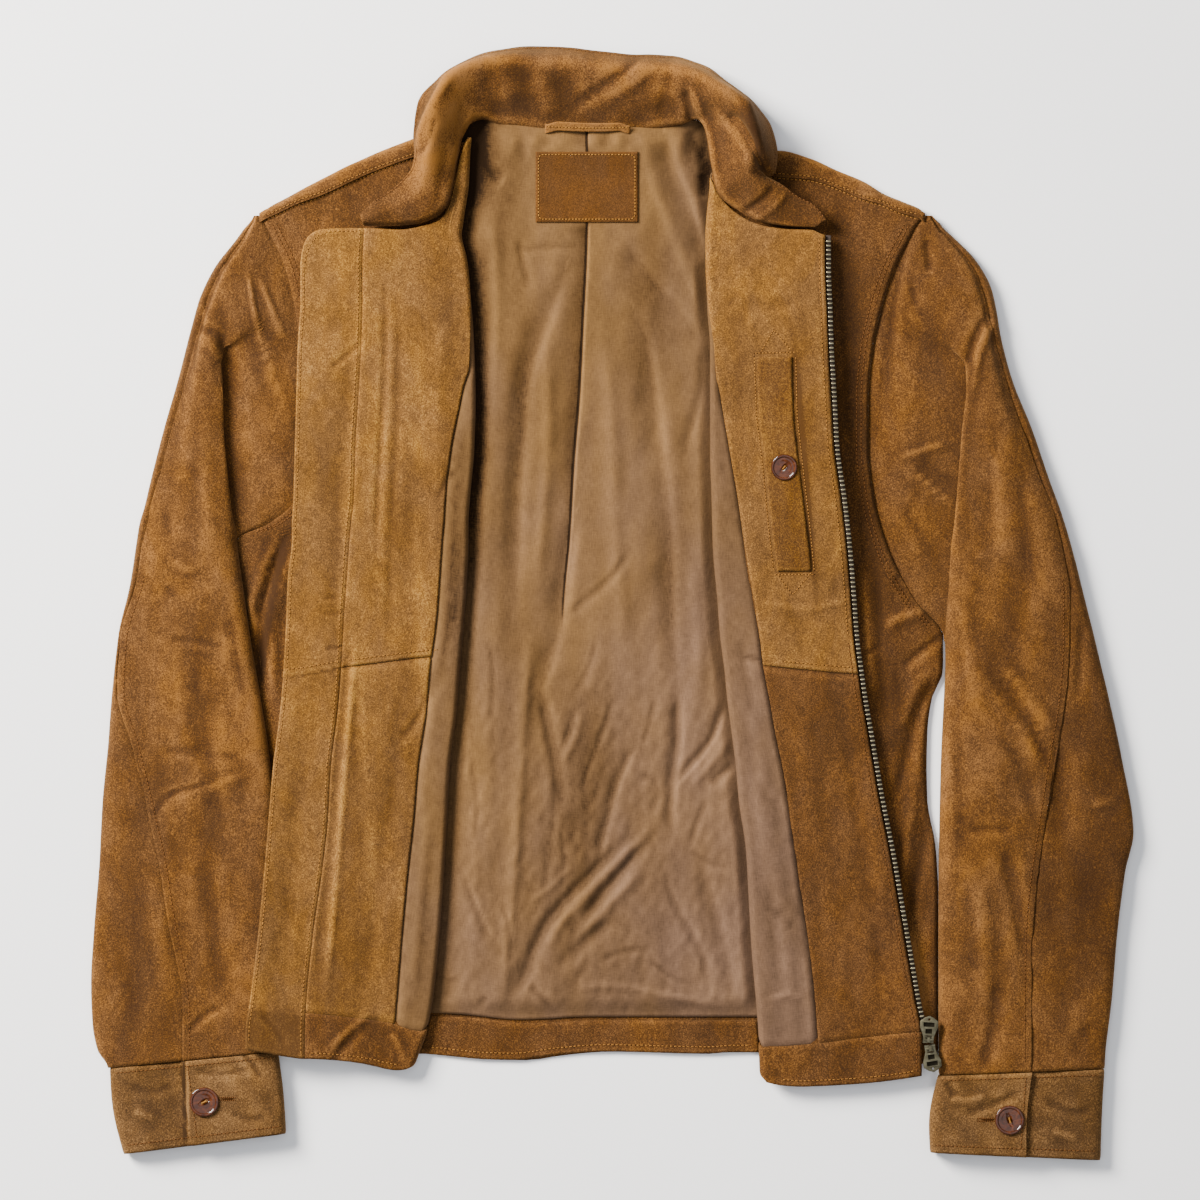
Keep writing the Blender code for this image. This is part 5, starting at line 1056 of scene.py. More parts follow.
def build_facings(settings):
    """Lining strip, both facings and the hem's turn, laid on the inner face of each front."""
    around = np.concatenate([np.linspace(TUCK, 2, 22)[:-1], np.linspace(2, EDGE_Q, 42)])
    for side in SIDES:
        top, bottom = ends_of(ENDS[side])
        hem, yoke = HEM_SEAMS[side], YOKE_SEAMS[side]
        start = facing_place(side, GAP)
        jobs = (
            (f"lining_strip_{side}", f"front_lining_{side}", TUCK, facing_place(side, 1.8), (top, hem),
             np.linspace(0, 1, 24), ON_LINING, (-GAP, -1.5), LINING, "lining", ("bottom", "high"), -0.35),
            (f"facing_{side}_upper", f"facing_upper_{side}", start, EDGE_Q, (top, yoke),
             np.linspace(0, 1, 50), ON_FACING, (-GAP / 2, -1.2), SUEDE, "facing", (), 0),
            (f"facing_{side}_lower", f"facing_lower_{side}", start, EDGE_Q, (yoke, hem),
             np.linspace(0, 1, 46), ON_FACING, (1.0, -1.5), SUEDE, LOWER_KIND[side], ("top", "bottom"), 0),
            (f"hem_turn_{side}", f"front_hem_{side}", 0, 1, (hem, bottom),
             around, ON_FACING, (-GAP, GAP), SUEDE, "suede", (), 0),
        )
        for name, node, low, high, ends, places, offset, inset, thick, kind, tucked, shade in jobs:
            grid, q = strip_grid(side, low, high, ends, places, offset, settings.grid_step, inset)
            x, y = grid[..., 0], grid[..., 1]
            grid = lift(grid, front_relief(side, grid, q), OUT[side])
            for edge in tucked:
                grid = tuck(grid, edge, OUT[side], 1.5, 6.0)
            if "top" in tucked:
                # painted shadow: a dark line under the seam's overhanging edge
                run = arc_lengths(grid, 0)
                shade = shade - 0.9 * np.exp(-((run[-1:] - run - 2.6) / 1.5) ** 2)
            item = shell(name, grid, thick, kind, OUT[side], tone_and_painted_light=tones_and_painted_light(f"{side}_front", x, y) + shade)
            lay(item, node)


def build_flap(settings):
    """Storm flap beyond the left fly seam, a step lower below the yoke seam and higher at the hem."""
    places = np.concatenate([[0, 0.02, 0.045], np.linspace(0.07, 0.85, 16), np.linspace(0.88, 1, 8)])
    ends = ends_of(FLAP_ENDS, 3)
    grid, q = strip_grid("left", 3 - FLAP_START, 4, ends, places, FLAP_T / 2, settings.grid_step)
    y = grid[..., 1]
    seam = smooth(YOKE_SEAMS["left"], q)
    hem = smooth(HEM_SEAMS["left"], q)
    step_down = -0.8 * ease((seam - y) / 1.6) * ease((y - seam + 60) / 50) + 0.7 * ease((hem - y) / 1.6)
    grid = tuck(lift(grid, front_relief("left", grid, q) + step_down, -1), "low", -1, 1.5, 3.5)
    shade = tones_and_painted_light("left_front", grid[..., 0], grid[..., 1]) - 0.8 * ease((hem - y) / 2)
    item = shell("storm_flap_suede", grid, FLAP_T, "facing", -1, tone_and_painted_light=shade)
    lay(item, "storm_flap")


# ---------------- back, lining and yokes
def build_back(settings):
    """Back panel, flat on the surface."""
    part = np.linspace(0, 1, 80)
    columns = []
    for f in np.linspace(0, 1, 44):
        top, bottom = smooth(BACK_ENDS, f), smooth(BACK_ENDS, f, 0, 2)
        y = bottom + (top - bottom) * part
        x = body_x(y, f)
        columns.append(np.stack([x, y, FLOOR_MID + back_height(x, y)], axis=-1))
    item = shell("back_suede", np.stack(columns, axis=1), SUEDE, "suede")
    lay(item, "back_panel")


def pleat(x, y):
    """Box pleat down the middle of the back lining: a dip towards its edge, then a step up on the right."""
    line = smooth(PLEAT, y)
    depth = smooth(PLEAT, y, 0, 2)
    aside = x - line
    dip = -np.exp(-(np.maximum(-aside, 0) / 14) ** 1.4) * ease((0.8 - aside) / 1.2)
    rise = np.exp(-np.maximum(aside, 0) / 14) * ease((aside + 0.2) / 1.0)
    return depth * (0.7 * dip + 0.22 * rise)


def lining_surface(x, y):
    """Height of the back lining's middle: folds, fine waves and the pleat, flat under the fronts."""
    fade = ease((x - front_at("left", y, FOLD)) / 24) * ease((front_at("right", y, FOLD) + 2 - x) / 12)
    bulk = creases("lining", x, y) + waves("lining", x, y)
    pucker = ease((y - 306) / 14) * ease((336 - y) / 14)
    bulk = bulk + 0.8 * pucker * np.sin(x / 3.1 + 0.8 * np.sin(x / 9)) + LINING_RISE
    bulk = bulk + waves("lining_foot", x, y) * ease((20 - y) / 120)
    ends = ease((y + 287) / 16) * ease((348 - y) / 24)
    rise = fade * (bulk * ends + pleat(x, y))
    # the label's stitches hold the lining flat
    held = ease((x - LABEL_X[0] + 9) / 9) * ease((LABEL_X[1] + 9 - x) / 9)
    held = held * ease((y - LABEL_Y[0] + 7) / 7) * ease((LABEL_Y[1] + 9 - y) / 9)
    rise = rise * (1 - held) + LABEL_RISE * held
    return np.maximum(LINING_MID + 1.15 * back_height(x, y) + rise, LINING_MID)


def build_lining(settings):
    """Back lining, with painted shadow beside the left fold and painted shade along the pleat, and the hem's
    turn on the back.
    """
    part = np.linspace(0, 1, int(LINING_LENGTH / settings.grid_step))
    columns = []
    for f in np.linspace(0, 1, 136):
        top, bottom = smooth(LINING_ENDS, f), smooth(LINING_ENDS, f, 0, 2)
        columns.append(lining_point(f, bottom + (top - bottom) * part))
    grid = np.stack(columns, axis=1)
    x, y = grid[..., 0], grid[..., 1]
    beside = x - front_at("left", y, FOLD)
    # painted shadow beside the left fold, weaker towards the hem
    shade = tones_and_painted_light("lining", x, y) - 1.3 * np.exp(-(beside / 12) ** 2) * (0.35 + 0.65 * ease((y + 20) / 90))
    aside = smooth(PLEAT, y) - x
    depth = smooth(PLEAT, y, 0, 2)
    # painted shade left of the pleat, and a dark painted shadow line along its edge
    shade = shade - 0.16 * depth * np.exp(-(aside / 9) ** 2) * ease((aside + 0.6) / 1.2)
    shade = shade - 2.8 * np.minimum(depth / 1.6, 1) * np.exp(-((aside - 0.5) / 0.85) ** 2)
    item = shell("back_lining_twill", grid, LINING, "lining", tone_and_painted_light=shade)
    lay(item, "back_lining")
    columns = []
    for f in np.linspace(0, 1, 100):
        y = np.linspace(back_hem(f) + GAP, smooth(BACK_HEM_TOP, f) - GAP * 2, 14)
        x = between_folds(y, f)
        columns.append(np.stack([x, y, FACING_TOP + waves("back_hem", x, y)], axis=-1))
    item = shell("back_hem_turn", np.stack(columns, axis=1), SUEDE, "suede")
    lay(item, "back_hem")


def build_yokes(settings):
    """Strips over the shoulders; their outer ends run on under the sleeve heads."""
    for side in SIDES:
        rows = YOKES[side]
        ends = [rows[0][0], rows[-1][0]]
        outer = int(abs(ends[1]) > abs(ends[0]))
        seam_x = ends[outer]
        ends[outer] += 2.4 * OUT[side]
        columns = []
        for x in np.linspace(*ends, 70):
            past = max(abs(x) - abs(seam_x) + 2, 0)
            curve = yoke_section(rows, x, np.linspace(0, 1, 34)) - [0.5 * past, 0.12 * past]
            columns.append(np.stack([np.full(len(curve), x), curve[:, 0], curve[:, 1]], axis=-1))
        grid = np.stack(columns, axis=1)
        show = ease((grid[..., 2] - 3) / 4)
        grid = lift(grid, waves("yoke", grid[..., 0], grid[..., 1]) * show, -1)
        item = shell(f"yoke_{side}_suede", grid, SUEDE, "suede", -1)
        lay(item, f"yoke_{side}")


# ---------------- sleeves and cuffs
def build_sleeves(settings):
    """Two-piece sleeves: each piece is a row of sections, with folds where it shows."""
    for side in SIDES:
        rows = int((SLEEVE_TOP - SLEEVE_STOP[side]) / settings.grid_step)
        under_s = np.concatenate([np.linspace(0, 0.55, 32), np.linspace(0.6, 1, 8)])
        jobs = (
            ("upper", upper_sleeve_section, rows, np.linspace(0, 1, 66), 0.12, 0.05),
            ("under", under_sleeve_section, int(rows * 0.75), under_s, 0.05, None),
        )
        for part, section, count, s, fade_in, fade_out in jobs:
            grid = np.stack([section(side, y, s) for y in np.linspace(SLEEVE_STOP[side], SLEEVE_TOP, count)])
            x, y, z = grid[..., 0], grid[..., 1], grid[..., 2]
            show = ease((z - 5) / 5) * ease(s / fade_in)[None, :]
            if fade_out:
                show = show * ease((1 - s) / fade_out)[None, :]
            zone = f"{side}_sleeve"
            grid = lift(grid, (creases(zone, x, y) + waves(f"{side}_{part}", x, y)) * show, OUT[side])
            name = f"sleeve_{side}_{part}_suede"
            item = shell(name, grid, SUEDE, "sleeve", OUT[side], tone_and_painted_light=tones_and_painted_light(zone, x, y))
            lay(item, f"sleeve_{part}_{side}")


def build_cuffs(settings):
    """Cuffs: flat tubes with folds on the upper face."""
    for side in SIDES:
        grid = cuff_grid(side, np.linspace(0, 1, 190), np.linspace(0, 1, 28))
        x, y = grid[..., 0], grid[..., 1]
        show = ease((grid[..., 2] - 6) / 6)
        grid = lift(grid, (waves("cuff", x, y) + 1.25 * creases("cuff", x, y)) * show, -OUT[side])
        # painted shadow and highlight along the overlap's step, with the nap's shades
        item = shell(f"cuff_{side}_suede", grid, CUFF_T, "cuff", -OUT[side], tone_and_painted_light=tones_and_painted_light("cuff", x, y))
        lay(item, f"cuff_{side}")


# ---------------- collar, loop, label and pocket welt
def build_collar(settings):
    """Both layers of the collar, either side of its middle surface."""
    last = len(COLLAR) - 1
    grid = collar_grid(np.linspace(0, last, 310), np.linspace(0, 1, 46))
    face = facing_up(grid)
    x, y = grid[..., 0], grid[..., 1]
    folds = waves("collar", x, y) + 0.72 * creases("collar", x, y)
    upper = tuck(lift(grid, COLLAR_HALF + folds, face), "low", face, 2.2, 5.0)
    # painted shade in the collar's inner valley and painted light on its left wing, with the nap's shades
    item = shell("collar_upper_suede", upper, SUEDE, "suede", face, tone_and_painted_light=tones_and_painted_light("collar", x, y) - 0.2)
    lay(item, "collar_upper")
    grid = collar_grid(np.linspace(0, last, 120), np.linspace(0, 1, 18))
    grid[:, -1] = grid[:, -1] * 0.6 + grid[:, -2] * 0.4
    under = lift(grid, np.full(grid.shape[:2], -COLLAR_HALF), face)
    item = shell("collar_under_suede", under, SUEDE, "suede", -face)
    lay(item, "collar_under")


def facing_up(grid):
    """1 where the normals of a grid's middle point up, else -1."""
    n = normals(grid)
    return 1 if n[len(n) // 2, n.shape[1] // 4, 2] > 0 else -1


def build_trims(settings):
    """Hanger loop on the collar, label patch on the lining and the inner pocket's welt."""
    count = 60
    grid = collar_grid(np.linspace(*LOOP_ALONG, count), np.linspace(*LOOP_ACROSS, 10))
    face = facing_up(grid)
    n = normals(grid)
    part = np.linspace(0, 1, count)[:, None]
    grid[..., 1] -= 2.6 * (1 - ease(part / 0.16)) + 2.6 * (1 - ease((1 - part) / 0.16))
    rise = 1.6 * LOOP_RISE * np.sin(np.linspace(0, math.pi, count))[:, None, None] ** 0.6
    lift_up = COLLAR_HALF + SUEDE / 2 + GAP + LOOP_T / 2
    item = shell("hanger_loop_suede", grid + n * face * (lift_up + rise), LOOP_T, "suede", face, tone_and_painted_light=1.0)
    lay(item, "hanger_loop")
    x, y = np.meshgrid(np.linspace(*LABEL_X, 56), np.linspace(*LABEL_Y, 40))
    z = lining_surface(x, y) + (LINING + LABEL_T) / 2 + 0.2
    item = shell("label_patch_suede", np.stack([x, y, z], axis=-1), LABEL_T, "label")
    lay(item, "label_patch")
    y = np.linspace(WELT[-1][0], WELT[0][0], 90)
    centre = fold_axis("right", y)
    reach = FACING_TOP + GAP + WELT_T / 2
    columns = []
    for f in np.linspace(0, 1, 18):
        x = smooth(WELT, y, 0, 1) * (1 - f) + smooth(WELT, y, 0, 2) * f
        q = 2 + (x - centre) / (front_at("right", y, FLY) - centre)
        columns.append(front_point("right", q, y) + reach * front_normal("right", q, y))
    item = shell("pocket_welt_suede", np.stack(columns, axis=1), WELT_T, "welt")
    lay(item, "pocket_welt")


# ---------------- materials
def linear(code):
    """sRGB hex to the linear colour that shaders take."""
    rgb = [int(code[i:i + 2], 16) / 255 for i in (0, 2, 4)]
    return (*[c / 12.92 if c <= 0.04045 else ((c + 0.055) / 1.055) ** 2.4 for c in rgb], 1.0)


def plug(tree, node, inputs):
    """Set a node's inputs: constants go on their sockets, sockets are linked."""
    for key, value in inputs.items():
        socket = node.inputs[key]
        if node.bl_idname == "ShaderNodeMix":
            socket = [i for i in node.inputs if i.name == key and i.enabled][0]
        if isinstance(value, bpy.types.NodeSocket):
            tree.links.new(value, socket)
        else:
            socket.default_value = value


def add(tree, kind, inputs, **settings):
    """Add one node: settings are its own properties, inputs are values or sockets to link."""
    node = tree.nodes.new(kind)
    for key, value in settings.items():
        setattr(node, key, value)
    plug(tree, node, inputs)
    return node


def blank(name):
    """A new material, its node tree and its Principled shader."""
    made = bpy.data.materials.new(name)
    made.use_nodes = True
    return made, made.node_tree, made.node_tree.nodes["Principled BSDF"]


def ramp(tree, factor, *stops):
    """Colour by factor, through stops of place and sRGB code."""
    node = add(tree, "ShaderNodeValToRGB", {"Fac": factor})
    while len(node.color_ramp.elements) < len(stops):
        node.color_ramp.elements.new(0.5)
    for stop, (place, code) in zip(node.color_ramp.elements, stops):
        stop.position = place
        stop.color = linear(code)
    return node.outputs["Color"]


def carried(tree, name):
    """Value that a cloth piece carries at its points."""
    return add(tree, "ShaderNodeAttribute", {}, attribute_name=name).outputs["Fac"]


def spread(tree, value, low, high, to_low=0.0, to_high=1.0):
    """Value between low and high, spread from to_low to to_high."""
    node = add(tree, "ShaderNodeMapRange", {"Value": value, "From Min": low, "From Max": high,
                                            "To Min": to_low, "To Max": to_high})
    return node.outputs["Result"]


def bumps(tree, height, strength, distance):
    """Normal roughened by a height, over a distance in millimetres."""
    node = add(tree, "ShaderNodeBump", {"Height": height, "Strength": strength, "Distance": distance * MM})
    return node.outputs["Normal"]


def grain(tree, size_mm, detail=2.0, stretch=(1, 1, 1), rough=0.5, where=None, warp=0.0):
    """Noise whose grains measure about size_mm, on the piece's own coordinates."""
    where = where or add(tree, "ShaderNodeTexCoord", {}).outputs["Object"]
    place = add(tree, "ShaderNodeMapping", {"Vector": where, "Scale": stretch})
    noise = add(tree, "ShaderNodeTexNoise", {"Vector": place.outputs["Vector"], "Scale": 1 / (size_mm * MM),
                                             "Detail": detail, "Roughness": rough, "Distortion": warp})
    return noise.outputs["Fac"]


def sums(tree, *terms):
    """0.5 and a weighted sum of sockets: terms are (socket, weight) and, where it isn't 0.5, the centre."""
    total = 0.5
    for socket, weight, *centre in terms:
        part = add(tree, "ShaderNodeMath", {0: socket, 1: centre[0] if centre else 0.5}, operation="SUBTRACT")
        part = add(tree, "ShaderNodeMath", {0: part.outputs[0], 1: weight}, operation="MULTIPLY")
        total = add(tree, "ShaderNodeMath", {0: part.outputs[0], 1: total}, operation="ADD").outputs[0]
    return total


SUEDES = {
    # split cowhide with a raised nap: dark where the fibres lie away, ochre where they stand or rub
    "suede": ("2A1706", "3C240B", "4E3012", "744D22"),
    "sleeve": ("2C1807", "3F260C", "503213", "764E22"),
    "facing": ("3F270D", "573A17", "6B471E", "8F682F"),
    "facing_deep": ("2B1806", "3F260D", "503214", "70491F"),
    "cuff": ("2D1C0B", "402B13", "52381B", "785731"),
    "label": ("2D1805", "3E250B", "4C2E0F", "67411A"),
    "welt": ("2F1B06", "452A0C", "573810", "7A5420"),
}


def suede_finish(kind):
    """Split suede: dry nap, with painted highlight on its folds and painted shade in their troughs, that
    stays dark where it was stroked flat.
    """
    calm = 0.5 if kind in ("cuff", "label") else 0.9
    fuzz = 1.1 if kind == "label" else 1.55
    made, tree, shader = blank(f"{kind}_split_suede")
    fibre = grain(tree, 0.8, 2.0, (1.0, 0.85, 1.0), 0.6)
    tuft = grain(tree, 2.4, 3.0, (1.2, 0.7, 1.0), 0.6, warp=0.6)
    brush = grain(tree, 17.0, 4.0, (1.3, 0.6, 1.0), 0.6, warp=0.8)
    cloud = grain(tree, 62.0, 4.0, (1.2, 0.8, 1.0), 0.6)
    dust = grain(tree, 28.0, 4.0, (1.3, 0.7, 1.0), 0.6, warp=0.5)
    # the carried attributes add painted highlight on folds, painted shade in troughs, slits and hollows, and
    # the nap's shades
    mix = sums(tree, (fibre, fuzz), (tuft, 0.45 * calm), (brush, 0.5 * calm), (cloud, 0.6),
               (carried(tree, "wear_and_painted_fold_light"), 0.34, 0.0), (carried(tree, "tone_and_painted_light"), 0.35, 0.0))
    colour = ramp(tree, mix, *zip((0.12, 0.42, 0.6, 0.92), SUEDES[kind]))
    faded = spread(tree, dust, 0.35, 0.65, 0.97, 1.03)
    shown = add(tree, "ShaderNodeHueSaturation", {"Saturation": faded, "Color": colour})
    plug(tree, shader, {
        "Base Color": shown.outputs["Color"],
        "Normal": bumps(tree, sums(tree, (fibre, 1.0), (tuft, 0.8)), 0.55, 0.5),
        "Roughness": 0.92,
        "Specular IOR Level": 0.12,
        "Sheen Weight": 0.22,
        "Sheen Roughness": 0.5,
        "Sheen Tint": linear("D9A868"),
    })
    return made


def lining_finish():
    """Brushed cotton twill: matte, with slubs along both threads, a slight painted highlight on folds and
    painted shade in their troughs.
    """
    made, tree, shader = blank("brushed_cotton_twill")
    where = add(tree, "ShaderNodeUVMap", {}, uv_map="cloth").outputs["UV"]
    warp = grain(tree, 0.7, 2.0, (1.0, 0.12, 1.0), 0.6, where)
    weft = grain(tree, 0.75, 2.0, (0.14, 1.0, 1.0), 0.6, where)
    cloud = grain(tree, 60.0, 3.0, (1, 0.6, 1))
    crinkle = grain(tree, 9.0, 3.0, (1, 0.7, 1), 0.55, warp=0.7)
    # the carried attributes add painted highlight on folds and painted shade in troughs, hollows and beside
    # the left fold and the pleat
    mix = sums(tree, (warp, 0.4), (weft, 0.34), (cloud, 0.25), (crinkle, 0.2),
               (carried(tree, "wear_and_painted_fold_light"), 0.24, 0.0), (carried(tree, "tone_and_painted_light"), 0.35, 0.0))
    stops = (0.0, 0.2, 0.5, 0.85)
    gold = ramp(tree, mix, *zip(stops, ("201409", "46311A", "604628", "7A5A33")))
    rose = ramp(tree, mix, *zip(stops, ("20150C", "453427", "5D4737", "775C48")))
    # rosier towards the jacket's right and its hem
    place = add(tree, "ShaderNodeTexCoord", {}).outputs["Object"]
    spot = add(tree, "ShaderNodeSeparateXYZ", {"Vector": place})
    bias = sums(tree, (grain(tree, 45.0, 3.0, (1.2, 0.5, 1)), 0.8), (spot.outputs["X"], 1.2, 0.0),
                (spot.outputs["Y"], -0.6, 0.0))
    colour = add(tree, "ShaderNodeMix", {"Factor": spread(tree, bias, 0.3, 0.84), "A": gold, "B": rose},
                 data_type="RGBA")
    plug(tree, shader, {
        "Base Color": [o for o in colour.outputs if o.enabled][0],
        "Normal": bumps(tree, sums(tree, (warp, 0.5), (weft, 0.5), (crinkle, 2.0)), 0.35, 0.4),
        "Roughness": 0.8,
        "Specular IOR Level": 0.04,
        "Sheen Weight": 0.03,
        "Sheen Roughness": 0.4,
    })
    return made


def tape_finish():
    """Woven polyester zip tape: dark, matte, ribbed across."""
    made, tree, shader = blank("woven_zip_tape")
    colour = ramp(tree, grain(tree, 0.8), (0.3, "1B120B"), (0.7, "34251A"))
    plug(tree, shader, {"Base Color": colour, "Roughness": 0.85})
    return made


def thread_finish(name, code, low):
    """Corespun polyester thread with a low lustre."""
    made, tree, shader = blank(name)
    colour = ramp(tree, grain(tree, 0.8), (0.3, low), (0.7, code))
    plug(tree, shader, {"Base Color": colour, "Roughness": 0.7, "Specular IOR Level": 0.15})
    return made


def hole_finish():
    """Painted shadow in a needle hole."""
    made, tree, shader = blank("needle_hole_shadow")
    plug(tree, shader, {"Base Color": linear("2A1607"), "Roughness": 1.0, "Specular IOR Level": 0.0})
    return made


def brass_finish(name, dark, mid, bright, rough):
    """Antique brass: oxide in the hollows, rubbed bright where hands touch it."""
    made, tree, shader = blank(name)
    patina = grain(tree, 3.5, 3.0)
    rubbing_and_fold_light = sums(tree, (patina, 0.8), (grain(tree, 0.5), 0.3))
    plug(tree, shader, {
        "Base Color": ramp(tree, rubbing_and_fold_light, (0.2, dark), (0.55, mid), (0.9, bright)),
        "Roughness": spread(tree, patina, 0.3, 0.7, rough + 0.15, rough - 0.05),
        "Metallic": 1.0,
    })
    return made


def button_finish():
    """Polished casein resin: reddish brown, clouded, with a wet gloss."""
    made, tree, shader = blank("polished_resin_button")
    swirl = grain(tree, 5.0, 3.0, warp=1.5)
    plug(tree, shader, {
        "Base Color": ramp(tree, swirl, (0.25, "261005"), (0.55, "3C1B08"), (0.8, "582C0F")),
        "Roughness": 0.13,
        "Specular IOR Level": 0.3,
        "Coat Weight": 0.12,
        "Coat Roughness": 0.05,
    })
    return made


def paper_finish():
    """Seamless white studio paper: flat and matte."""
    made, tree, shader = blank("studio_paper")
    colour = ramp(tree, grain(tree, 300.0, 1.0), (0.2, "F4F4F5"), (0.8, "F8F8F8"))
    plug(tree, shader, {"Base Color": colour, "Roughness": 0.95, "Specular IOR Level": 0.1})
    return made


FINISHES = {
    "lining": lining_finish,
    "tape": tape_finish,
    "hole": hole_finish,
    "thread": lambda: thread_finish("tan_thread", "98692C", "5E3912"),
    "thread_gold": lambda: thread_finish("gold_thread", "A2722E", "5E3B13"),
    "thread_dark": lambda: thread_finish("brown_thread", "6A4118", "42280E"),
    "teeth": lambda: brass_finish("antique_brass_teeth", "4A4436", "8E8468", "CFC6A8", 0.32),
    "pull": lambda: brass_finish("antique_brass_pull", "3F3B2D", "5C5745", "857E66", 0.42),
    "pull_hollow": lambda: brass_finish("blackened_brass_recess", "14120D", "1D1A13", "2C281E", 0.6),
    "button": button_finish,
    "paper": paper_finish,
}
MADE = {}


def finish(kind):
    """The one material of each kind."""
    if kind not in MADE:
        MADE[kind] = suede_finish(kind) if kind in SUEDES else FINISHES[kind]()
    return MADE[kind]


# ---------------- hard pieces: zip and buttons
def deselect():
    """Leave any edit mode and select nothing."""
    if bpy.context.object and bpy.context.object.mode != "OBJECT":
        bpy.ops.object.mode_set(mode="OBJECT")
    bpy.ops.object.select_all(action="DESELECT")


def only(item):
    """Select one object alone."""
    deselect()
    item.select_set(True)
    bpy.context.view_layer.objects.active = item


def dress(item, *kinds):
    """Give an object the materials of these kinds in place of its own."""
    item.data.materials.clear()
    for kind in kinds:
        item.data.materials.append(finish(kind))


def apply_all():
    """Bake the selected object's place, turn and scale into its points."""
    bpy.ops.object.transform_apply(location=True, rotation=True, scale=True)


def bevel_all(offset):
    """Round every edge of the active object."""
    bpy.ops.object.mode_set(mode="EDIT")
    bpy.ops.mesh.select_all(action="SELECT")
    bpy.ops.mesh.bevel(offset=offset, segments=2, affect="EDGES")
    bpy.ops.object.mode_set(mode="OBJECT")


def round_edges(item, width, segments, angle):
    """Round the edges of the active object that are sharper than an angle."""
    edge = item.modifiers.new("edge", "BEVEL")
    edge.width = width * MM
    edge.segments = segments
    edge.limit_method = "ANGLE"
    edge.angle_limit = math.radians(angle)
    bpy.ops.object.modifier_apply(modifier="edge")


def rod(sides, radius, depth, place, tilt=0.0):
    """Cylinder in millimetres, tilted about Y."""
    deselect()
    bpy.ops.mesh.primitive_cylinder_add(vertices=sides, radius=radius * MM, depth=depth * MM,
                                        location=[v * MM for v in place], rotation=(0, tilt, 0))
    return bpy.context.object


def set_down(item, place, turns, body, node=None):
    """Move a finished hard piece to its place, tie it to its body and, if it has one, hide its solid."""
    only(item)
    item.location = [v * MM for v in place]
    item.rotation_euler = turns
    apply_all()
    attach(item, body)
    if node:
        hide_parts(node)
    deselect()


def joined(name, template, places, kind):
    """Copies of a small template mesh (vertices, faces) at 4x4 places, as one piece of the jacket."""
    verts, faces = template
    verts = np.asarray(verts, float)
    every = np.concatenate([verts @ place[:3, :3].T + place[:3, 3] for place in places])
    corners = [tuple(i + k * len(verts) for i in f) for k in range(len(places)) for f in faces]
    item = new_piece(name, every, corners, kind)
    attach(item, "jacket")
    return item


def unit(v):
    """A vector at length 1."""
    return v / np.linalg.norm(v)


def frame_at(point, forward, up):
    """Placing matrix with X along forward and Z along up."""
    x = unit(np.asarray(forward, float))
    z = np.asarray(up, float)
    z = unit(z - x * z.dot(x))
    place = np.eye(4)
    place[:3, :] = np.stack([x, np.cross(z, x), z, point], axis=1)
    return place


def tooth_template():
    """One metal tooth modelled from a cube: a small block with rounded edges."""
    deselect()
    bpy.ops.mesh.primitive_cube_add(size=1, location=(0, 0, 0))
    tooth = bpy.context.object
    tooth.scale = TOOTH_SIZE
    apply_all()
    bevel_all(0.42)
    verts = [tuple(v.co) for v in tooth.data.vertices]
    faces = [tuple(p.vertices) for p in tooth.data.polygons]
    bpy.data.objects.remove(tooth, do_unlink=True)
    return verts, faces


def spaced(path, stops):
    """Points of a path at distances along it."""
    along = np.concatenate([[0], np.cumsum(np.linalg.norm(np.diff(path, axis=0), axis=1))])
    return np.stack([np.interp(stops(along[-1]), along, v) for v in path.T], axis=1)


def build_zip(settings):
    """Tapes as woven strips, and teeth evenly spaced down each chain."""
    template = tooth_template()
    for name, (side, low, high, top, bottom, thick, offset, kind) in ZIP_STRIPS.items():
        if kind == "tape":
            ends = (((3, top), (4, top)), ((3, bottom), (4, bottom)))
            grid, q = strip_grid(side, low, high, ends, np.linspace(0, 1, 5), offset, 5)
            item = shell(name.replace("zip_tape", "zip_tape_woven"), grid, thick, "tape", OUT[side])
            lay(item, name)
            continue
        count = int((top - bottom) / settings.tooth_pitch) * 6
        y = np.linspace(bottom + 2, top - 2, count)
        q = np.full(count, (low + high) / 2)
        line = front_point(side, q, y) + offset * front_normal(side, q, y)
        points = spaced(line, lambda length: np.arange(0, length, settings.tooth_pitch))
        up = (0, 0, 1.0)
        places = [frame_at(point, np.cross(ahead, up), up)
                  for point, ahead in zip(points, np.gradient(points, axis=0))]
        item = joined(name.replace("zip_chain", "zip_teeth"), template, places, "teeth")
        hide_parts(name)


def cut_away(body, tool):
    """Take one solid out of another and drop the tool."""
    only(body)
    cut = body.modifiers.new("cut", "BOOLEAN")
    cut.operation = "DIFFERENCE"
    cut.object = tool
    bpy.ops.object.modifier_apply(modifier="cut")
    bpy.data.objects.remove(tool, do_unlink=True)


def block(size, place):
    """Box in millimetres."""
    deselect()
    bpy.ops.mesh.primitive_cube_add(size=1, location=[v * MM for v in place])
    made = bpy.context.object
    made.scale = [v * MM for v in size]
    apply_all()
    return made


